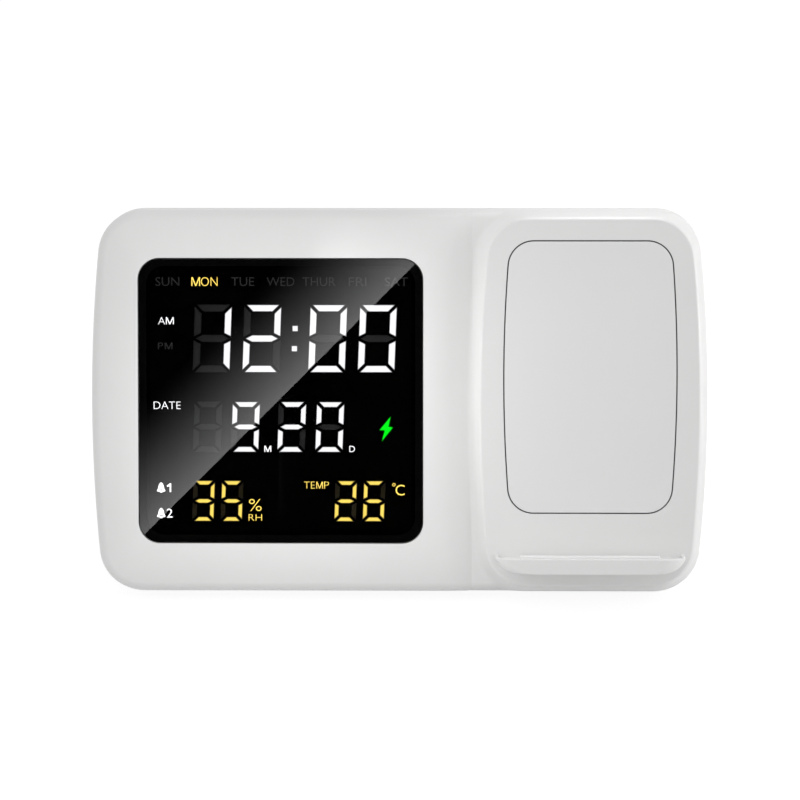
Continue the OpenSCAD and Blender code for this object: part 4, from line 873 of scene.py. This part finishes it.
panel_levels = [(module_proud - panel_t, 0.0), (module_proud - panel_edge_r, 0.0),
                *rounded_edge(module_proud, panel_edge_r, (30, 60, 90)), (module_proud, -panel_flat_in)]
charging_panel = stacked("charging_panel_plate",
                         levels_to_loops(panel_outline, panel_levels, panel_u, panel_v), on_face)
smooth(charging_panel, 16)
panel_white = moulded_finish("panel_white", 0.785, (0.815, 0.815, 0.812), 3200, 30, 0.40, 0.50, 0.08, 0.00002)
dress(charging_panel, panel_white, "panel_white", "base", "charging_panel")

# Seam shade: a dark grey bead set in the seam round the panel, a little below the surface,
# as painted shade that darkens the seam.
bead_gap, bead_low, bead_side, bead_top = 0.06, -0.9, -0.42, -0.34


def hoop(name, loops):
    """Closed ring from outlines that run round its section."""
    n, m = len(loops[0]), len(loops)
    faces = [[k * n + i, k * n + (i + 1) % n, (k + 1) % m * n + (i + 1) % n, (k + 1) % m * n + i]
             for k in range(m) for i in range(n)]
    return piece(name, on_face(np.concatenate(loops)), faces)


bead_levels = [(module_proud + z, g) for g, z in (
    (bead_gap, bead_low), (panel_seam - bead_gap, bead_low), (panel_seam - bead_gap, bead_side),
    (panel_seam / 2, bead_top), (bead_gap, bead_side))]
seam_shade_bead = hoop("panel_seam_bead", levels_to_loops(panel_outline, bead_levels, panel_u, panel_v))
smooth(seam_shade_bead, 40)
# Dark grey of the bead: painted shade in the seam.
painted_seam_shade = moulded_finish("grey_adhesive", (0.050, 0.050, 0.052), (0.075, 0.075, 0.078),
                           2200, 300, 0.6, 0.75, 0.1, 0.00002)
dress(seam_shade_bead, painted_seam_shade, "reflector_black", "base")

# Phone ledge: a boat-shaped shelf moulded in white ABS with a shallow tray and a thin
# lip. Two pins pass through the module wall and are screwed from inside.
ledge_w, ledge_end_r, ledge_plan_r, lip_t = 58.8, 6.5, 6.5, 1.4
tray_depth, tray_ease = 1.0, 0.25


def ledge_plan(half, depth, r, n=14):
    """Shelf outline seen from above, with its back edge on the module face."""
    r = min(r, half, depth)
    loop = [(half, 0.0)]
    for k in range(n + 1):
        q = math.radians(90.0 * k / n)
        loop.append((half - r + r * math.cos(q), depth - r + r * math.sin(q)))
    return np.array(loop + [(-x, y) for x, y in loop[::-1]])


def shelf_loop(plan, v):
    """Outline seen from above, placed before the module face at one height."""
    return np.c_[panel_u + plan[:, 0], np.full(len(plan), v), module_proud + plan[:, 1]][::-1]


def ledge_body():
    """Shelf with boat-shaped ends: its reach follows an arc up to the lip."""
    edge, top = 0.35, 0.3
    rise = ledge_end_r - ledge_t
    made = []
    for q in np.radians([0, 30, 60, 90]):
        shy = edge * (1 - math.sin(q))
        plan = ledge_plan(ledge_w / 2 - ledge_end_r - shy, ledge_depth - shy, ledge_plan_r - shy)
        made.append(shelf_loop(plan, ledge_v - ledge_t + edge * (1 - math.cos(q)) * 0.2))
    for y in np.linspace(edge * 0.4 - ledge_t, -top, 16):
        reach = ledge_w / 2 - ledge_end_r + math.sqrt(ledge_end_r ** 2 - (rise - y) ** 2)
        made.append(shelf_loop(ledge_plan(reach, ledge_depth, ledge_plan_r), ledge_v + y))
    for q in np.radians([30, 60, 90]):
        shy = top * (1 - math.cos(q))
        plan = ledge_plan(reach - shy, ledge_depth - shy, ledge_plan_r)
        made.append(shelf_loop(plan, ledge_v - top + top * math.sin(q)))
    return stacked("phone_ledge_shelf", made, on_face)


phone_ledge = ledge_body()
tray = []
for z, g in eased_mouth(-tray_depth, 0.0, tray_ease):
    plan = ledge_plan(ledge_w / 2 - lip_t + g, ledge_depth - lip_t + g, ledge_plan_r - lip_t + g)
    plan[0, 1] = plan[-1, 1] = -cut_past
    tray.append(shelf_loop(plan, ledge_v + z))
carve(phone_ledge, [stacked("tray", tray, on_face)])
smooth(phone_ledge, 20)
dress(phone_ledge, shell_white, "shell_white", "base", "phone_ledge")

# Cushion strip: a moulded bar of pale silicone with rounded edges. It is pressed into a groove
# of the tray, and the phone stands on it.
strip_w, strip_d, strip_t, strip_low, strip_back = 43.0, 3.5, 1.3, -1.5, 1.0
strip_end_r, strip_edge_r, strip_flat_in = 0.8, 0.4, 0.65
strip_levels = [(0.0, 0.0), (strip_t - strip_edge_r, 0.0),
                *rounded_edge(strip_t, strip_edge_r, range(15, 91, 15)), (strip_t, -strip_flat_in)]
ledge_strip = stacked("cushion_strip", [
    shelf_loop(round_box(strip_w, strip_d, strip_end_r, g, 6) + [0, strip_back + strip_d / 2],
               ledge_v + strip_low + z) for z, g in strip_levels], on_face)
smooth(ledge_strip, 20)
cushion_grey = moulded_finish("silicone_grey", 0.80, 0.84, 1800, 120, 0.50, 0.62, 0.1, 0.00002)
dress(ledge_strip, cushion_grey, "cushion_grey", "base", "ledge_strip")

# Push buttons: five pill-shaped caps in pale grey ABS with soft edges and a flange behind
# the wall. Each one slides in its hole and presses the plunger of its own switch.
button_flange, flange_depth, button_edge_r, button_crown = 1.2, 1.0, 0.5, 0.1
button_grey = moulded_finish("button_grey_abs", (0.58, 0.58, 0.585), (0.62, 0.62, 0.625),
                             2400, 90, 0.36, 0.48, 0.1, 0.00002)
button_rim = button_proud - button_crown
button_levels = [(-wall - flange_depth, button_flange), (-wall, button_flange), (-wall + 0.001, 0.0),
                 (button_rim - button_edge_r, 0.0),
                 *rounded_edge(button_rim, button_edge_r, range(15, 76, 15)),
                 (button_proud - 0.07, -0.9), (button_proud - 0.02, -1.5), (button_proud, -2.1)]
for k, use in enumerate(button_uses):
    cap = rear_tool(lambda g: round_box(button_w, button_h, button_h / 2, g, 14), button_levels,
                    (k - 2) * button_pitch, button_z, "button_cap_" + use)
    smooth(cap, 25)
    dress(cap, button_grey, "button_grey", "push_" + use, "button_" + use)

# Cell door: a round white ABS lid over the backup cell. A coin in its slot turns two
# lugs behind the rear wall.
door_edge_r, door_flat_in, door_rim, door_skin = 0.5, 1.0, 2.0, 2.4
coin_slot_w, coin_slot_d, coin_slot_ease = 1.8, 1.2, 0.25
door_levels = [(door_back, 0.0), (-door_edge_r, 0.0), *rounded_edge(0.0, door_edge_r, range(15, 91, 15)),
               (0.0, -door_flat_in)]
battery_door = rear_tool(lambda g: disc(door_r, g, 96), door_levels, door_x, door_z, "cell_door")
lug_r = door_r + lug_out
lug_q = math.asin(lug_w / 2 / lug_r)
lugs = np.array([(lug_r * math.cos(side + q), lug_r * math.sin(side + q)) for side in (0.0, math.pi)
                 for q in np.linspace(-lug_q, lug_q, 9)])
lug_levels = [(door_back, 0), (door_back + lug_t, 0)]
carve(battery_door, [rear_tool(lambda g: lugs, lug_levels, door_x, door_z)], "UNION")
carve(battery_door, [
    rear_tool(lambda g: round_box(door_r, coin_slot_w, coin_slot_w / 2, g, 8),
              eased_mouth(-coin_slot_d, 0.0, coin_slot_ease), door_x, door_z),
    rear_tool(lambda g: disc(door_r - door_rim, g), [(door_back - cut_past, 0), (-door_skin, 0)],
              door_x, door_z)])
smooth(battery_door)
dress(battery_door, shell_white, "shell_white", "cell_cover", "battery_door")

# Shell screws: four screws of zinc-plated steel with pan heads and a cross recess. They sit
# deep in the wells of the rear shell and pull it against the front shell.
steel = moulded_finish("zinc_plated_steel", (0.52, 0.52, 0.53), 0.66,
                       900, 160, 0.22, 0.40, 0.06, 0.00002, 1.0)
head_h, head_rim, head_flat_r, shank_r, shank_l, tip_r, tip_l = 2.0, 1.1, 0.3, 1.3, 10.0, 0.5, 0.8
recess_w, recess_t, recess_r, recess_levels = 3.0, 0.75, 0.1, [(-2.6, 0.12), (-0.9, -0.25)]
dome = [(head_flat_r, -head_h)] + [(head_r * math.sin(q), -head_rim - (head_h - head_rim) * math.cos(q))
                                   for q in np.radians([25, 45, 65, 80, 90])]
profile = dome + [(head_r, 0.0), (shank_r, 0.001), (shank_r, shank_l - tip_l), (tip_r, shank_l)]
screw = stacked("screw", [at_height(disc(r, 0, 40), w) for r, w in profile], along_face)
carve(screw, [stacked("arm", [at_height(turned(round_box(recess_w, recess_t, recess_r, grow, 3), q), z)
                              for z, grow in recess_levels], along_face)
              for q in (0.0, math.pi / 2)])
shell_screws = set_on("shell_screw_set", screw,
                      on_face([(u, v, -front_depth - screw_seat) for u, v in shell_posts]), steel)
smooth(shell_screws, 30)
dress(shell_screws, steel, "screw_steel", "base", "shell_screws")

# Feet: four moulded discs of dark rubber with a shallow hollow and a rounded tread edge,
# bonded in round seats in the base.
foot_profile = [(0.05, 0.12), (3.2, 0.12), (3.5, 0.0), (5.0, 0.0), (5.3, 0.06), (5.55, 0.25), (5.7, 0.55),
                (foot_r, 0.75), (foot_r, foot_proud + foot_seat)]
foot = stacked("foot", [at_height(disc(r, 0, 56), z) for r, z in foot_profile], as_is)
foot_rubber = moulded_finish("dark_rubber", (0.045, 0.045, 0.046), 0.07,
                             1500, 140, 0.6, 0.8, 0.25, 0.00005)
rubber_feet = set_on("rubber_foot_set", foot, as_is([(x, y, 0) for x, y in foot_places]), foot_rubber)
smooth(rubber_feet, 25)
dress(rubber_feet, foot_rubber, "foot_rubber", "base", "rubber_feet")

# Power inlet: a drawn steel sleeve round a black insulator, whose tongue carries a row
# of gilt contacts on each side.
inlet_steel = moulded_finish("drawn_steel", (0.60, 0.60, 0.61), 0.72,
                             700, 300, 0.18, 0.32, 0.05, 0.00001, 1.0)
gilt = moulded_finish("gilt_contact", (0.83, 0.60, 0.22), (0.90, 0.68, 0.30),
                      1200, 400, 0.20, 0.32, 0.04, 0.00001, 1.0)
tongue_in, tongue_half, contact_count, contact_pitch = 0.8, 0.35, 12, 0.5
tongue_tip = -inlet_inset - tongue_in
contact_levels = [(-4.6, 0.24, 0.03), (tongue_tip - 0.5, 0.24, 0.03), (tongue_tip - 0.25, 0.16, 0.012)]
for side, name in ((1, "upper"), (-1, "lower")):
    loops = []
    for z, w, t in contact_levels:
        strip = round_box(w, 2 * t, t * 0.9, 0.0, 2)
        loops.append(at_height(strip + [0, inlet_z + side * (tongue_half + t * 0.5)], z))
    contact = stacked("inlet_contacts_" + name, loops, on_rear)
    row_of(contact, contact_count, contact_pitch, 0.0, gilt)
    dress(contact, gilt, "contact_brass", "base")

# Window border: a ring of black ink printed round the back of the window before it is
# bonded. It hides the tape and the flange behind it.
ink_in, ink_in_r, ink_out, ink_out_r, ink_back, ink_front = 80.5, 3.0, 87.7, 6.3, -2.012, -2.004
window_border = hoop("window_border_print", [
    at_height(round_box(side, side, r) + [window_u, window_v], z)
    for side, r, z in ((ink_in, ink_in_r, ink_back), (ink_out, ink_out_r, ink_back),
                       (ink_out, ink_out_r, ink_front), (ink_in, ink_in_r, ink_front))])
ink_black = moulded_finish("black_ink", 0.0015, 0.003, 1800, 90, 0.5, 0.65, 0.03, 0.00001)
set_inputs(ink_black.node_tree.nodes["Principled BSDF"], {"Specular IOR Level": 0.12})
dress(window_border, ink_black, "reflector_black", "base")

# Works inside the shells: boards, coil, cables and small hardware, kept as they are built,
# each with the finish of its own material.
reflector_black = moulded_finish("matt_black_abs", 0.010, 0.016, 1600, 60, 0.55, 0.7, 0.1, 0.00002)
tape_black = moulded_finish("black_foam_tape", 0.012, 0.020, 3000, 200, 0.8, 0.95, 0.2, 0.00003)
board_green = moulded_finish("green_solder_mask", (0.010, 0.085, 0.035), (0.018, 0.125, 0.05),
                             380, 220, 0.22, 0.42, 0.1, 0.00003)
chip_black = moulded_finish("black_epoxy", (0.015, 0.015, 0.016), 0.028,
                            2200, 150, 0.45, 0.62, 0.12, 0.00002)
chip_cream = moulded_finish("cream_lamp", (0.72, 0.66, 0.42), (0.80, 0.75, 0.52),
                            1800, 250, 0.3, 0.45, 0.05, 0.00001)
coil_copper = moulded_finish("enamelled_copper", (0.56, 0.25, 0.10), (0.70, 0.34, 0.15),
                             900, 200, 0.22, 0.38, 0.1, 0.00002, 1.0)
ferrite_grey = moulded_finish("sintered_ferrite", (0.040, 0.040, 0.043), (0.065, 0.065, 0.068),
                              1400, 80, 0.55, 0.7, 0.15, 0.00003)
contact_brass = moulded_finish("sprung_brass", (0.60, 0.42, 0.14), (0.72, 0.52, 0.20),
                               800, 160, 0.22, 0.36, 0.06, 0.00001, 1.0)
cable_grey = moulded_finish("grey_ribbon", (0.45, 0.45, 0.46), (0.54, 0.54, 0.55),
                            700, 120, 0.45, 0.6, 0.1, 0.00003)
cable_red = moulded_finish("red_lead", (0.42, 0.028, 0.020), (0.52, 0.045, 0.032),
                           900, 150, 0.4, 0.55, 0.1, 0.00003)
insulator_black = moulded_finish("black_liquid_crystal_polymer", (0.014, 0.014, 0.015), (0.024, 0.024, 0.025),
                                 2000, 200, 0.4, 0.55, 0.08, 0.00001)
works = {
    "window_tape": tape_black, "segment_reflector": reflector_black, "led_board": board_green,
    "led_chips": chip_cream, "display_screws": steel, "charging_coil": coil_copper,
    "ferrite_sheet": ferrite_grey, "coil_leads": coil_copper, "charger_board": board_green,
    "charger_parts": chip_black, "charger_screws": steel, "ledge_screws": steel,
    "main_board": board_green, "main_board_parts": chip_black, "tact_switches": chip_black,
    "usb_c_shell": inlet_steel, "usb_c_tongue": insulator_black, "buzzer": chip_black,
    "climate_sensor": chip_cream, "board_screws": steel, "cell_contacts": contact_brass,
    "backup_cell": inlet_steel, "display_cable": cable_grey, "charger_cable": cable_red,
}
works.update({"plunger_" + use: chip_black for use in button_uses})
for name, finish in works.items():
    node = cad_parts[name]
    node.data.materials.clear()
    node.data.materials.append(finish)

# Floor and light: a board that is seen as mostly plain white, a white surround and six soft
# boxes. Two of the boxes only make gleams on the rims of the charging module.
floor_half = 3.0
floor = piece("floor", [(x * floor_half, y * floor_half, 0) for x, y in ((-1, -1), (1, -1), (1, 1), (-1, 1))],
              [[0, 1, 2, 3]])


def background_rays(tree):
    """Mask of the rays that see the background as white: from the camera, off gloss and through glass."""
    path = tree.nodes.new("ShaderNodeLightPath")
    seen, out = path, "Is Camera Ray"
    for kind in ("Is Glossy Ray", "Is Transmission Ray"):
        step = math_node(tree, "ADD")
        step.use_clamp = True
        wire(tree, seen, out, step, 0)
        wire(tree, path, kind, step, 1)
        seen, out = step, 0
    return seen


def floor_finish():
    """White board that is seen as mostly plain white and keeps a part of the shadow."""
    finish, tree, shader = new_finish("white_floor")
    set_inputs(shader, {"Base Color": (0.76, 0.76, 0.76, 1), "Roughness": 0.9})
    white = tree.nodes.new("ShaderNodeEmission")
    set_inputs(white, {"Strength": 1.14})
    part = math_node(tree, "MULTIPLY", 0.8)
    blend = tree.nodes.new("ShaderNodeMixShader")
    wire(tree, background_rays(tree), 0, part, 0)
    wire(tree, part, 0, blend, "Fac")
    wire(tree, shader, 0, blend, 1)
    wire(tree, white, 0, blend, 2)
    wire(tree, blend, 0, tree.nodes["Material Output"], "Surface")
    return finish


floor.data.materials.append(floor_finish())

world = bpy.data.worlds.new("studio")
scene.world = world
world.use_nodes = True
surround = world.node_tree
ambient, backdrop = surround.nodes["Background"], surround.nodes.new("ShaderNodeBackground")
set_inputs(ambient, {"Color": (1, 1, 1, 1), "Strength": 0.78})
set_inputs(backdrop, {"Strength": 1.0})
blend = surround.nodes.new("ShaderNodeMixShader")
wire(surround, background_rays(surround), 0, blend, "Fac")
wire(surround, ambient, 0, blend, 1)
wire(surround, backdrop, 0, blend, 2)
wire(surround, blend, 0, surround.nodes["World Output"], "Surface")


def soft_box(name, place, aim, size, power, spread=180.0):
    """An area lamp between two face places; size in metres, power in watts, spread in degrees."""
    place, aim = Vector(on_face([place])[0]), Vector(on_face([aim])[0])
    lamp = bpy.data.lights.new(name, "AREA")
    lamp.shape = "RECTANGLE"
    lamp.size, lamp.size_y = size
    lamp.energy = power
    lamp.spread = math.radians(spread)
    made = bpy.data.objects.new(name, lamp)
    scene.collection.objects.link(made)
    made.location = place
    made.rotation_mode = "QUATERNION"
    made.rotation_quaternion = (aim - place).to_track_quat("-Z", "Y")
    made.visible_camera = False
    made.visible_transmission = False
    return made


near_box = soft_box("near_box", (-34, 56, 70), (-34, 56, 0), (0.06, 0.06), 0.0235)
near_box.visible_glossy = False
soft_box("right_box", (1000, 276, 69), (90, 52, -4), (0.5, 0.5), 2.6)
soft_box("top_box", (68, 610, 62), (68, 118, 0), (0.08, 0.05), 0.0033, 10.0)
top_gleam = soft_box("top_gleam", (70, 401, -91), (70, 116, 2), (0.05, 0.03), 0.0022, 12.0)
top_gleam.visible_diffuse = False
right_gleam = soft_box("right_gleam", (378, 60, -92), (93, 60, 1), (0.03, 0.14), 0.0060, 24.0)
right_gleam.visible_diffuse = False
left_strip = soft_box("left_strip", (-36, 60, 6), (25, 60, 0), (0.006, 0.09), 0.0078, 130.0)
left_strip.visible_glossy = False

# Mirrored card: a grey card with one slanting edge stands where the window mirrors it,
# in front of a black flag. Only reflections see it.
camera_u, camera_v, camera_w = 25.38, 146.0, 1200.0
card_w, card_lift, card_half, card_reach, card_edge, card_fade = 600.0, 0.8, 110.0, 140.0, 0.01, 30.0


def mirrored(u, v):
    """Place on the card's plane that the camera sees in the window at a given place."""
    reach = card_w / camera_w
    return u + (u - camera_u) * reach, v + (v - camera_v) * reach


def reflection_card():
    """Card that is black up to its slanting edge, brightest there and fades out behind it."""
    slant = math.sqrt(0.5)
    points, glow = [], []
    for along in (-card_half, card_half):
        for across in (-card_reach, 0.0, card_edge, card_fade, card_reach):
            u = window_u + (along - across) * slant
            v = window_v + card_lift + (along + across) * slant
            points.append((*mirrored(u, v), card_w))
            glow.append(1.0 if across == card_edge else 0.0)
    made = piece("reflection_card", on_face(points), [[k, k + 1, k + 6, k + 5] for k in range(4)])
    store_values(made, "glow", glow)
    return made


def card_finish():
    """Plain light that follows the values stored on the card."""
    finish, tree, _ = new_finish("card_grey")
    light = tree.nodes.new("ShaderNodeEmission")
    set_inputs(light, {"Strength": 2.9})
    level = tree.nodes.new("ShaderNodeAttribute")
    level.attribute_name = "glow"
    fall = math_node(tree, "POWER", 2.2)
    wire(tree, level, "Fac", fall, 0)
    wire(tree, fall, 0, light, "Color")
    wire(tree, light, 0, tree.nodes["Material Output"], "Surface")
    return finish


card = reflection_card()
card.data.materials.append(card_finish())
card.visible_camera = False
card.visible_diffuse = False
card.visible_shadow = False

# Camera: a long lens before the face, to the right of its middle and above it, turned down
# and to the left, as in the photograph.
camera_data = bpy.data.cameras.new("camera")
camera = bpy.data.objects.new("camera", camera_data)
scene.collection.objects.link(camera)
camera_data.sensor_width = 36.0
camera_data.lens = 176.35
camera_data.clip_start, camera_data.clip_end = 0.05, 20.0
pitch, yaw = math.radians(4.110), math.radians(1.192)
spot = on_face([(camera_u, camera_v, camera_w)])[0]
axis_u, axis_v, axis_w = [Vector(along_face([a])[0] * 1000) for a in ((1, 0, 0), (0, 1, 0), (0, 0, 1))]
back = (axis_u * math.sin(yaw) * math.cos(pitch) + axis_v * math.sin(pitch)
        + axis_w * math.cos(yaw) * math.cos(pitch)).normalized()
right = (axis_u * math.cos(yaw) - axis_w * math.sin(yaw)).normalized()
up = back.cross(right).normalized()
facing = Matrix((right, up, back)).transposed().to_4x4()
camera.matrix_world = Matrix.Translation(Vector(spot)) @ facing
scene.camera = camera
scene.view_settings.view_transform = "Standard"
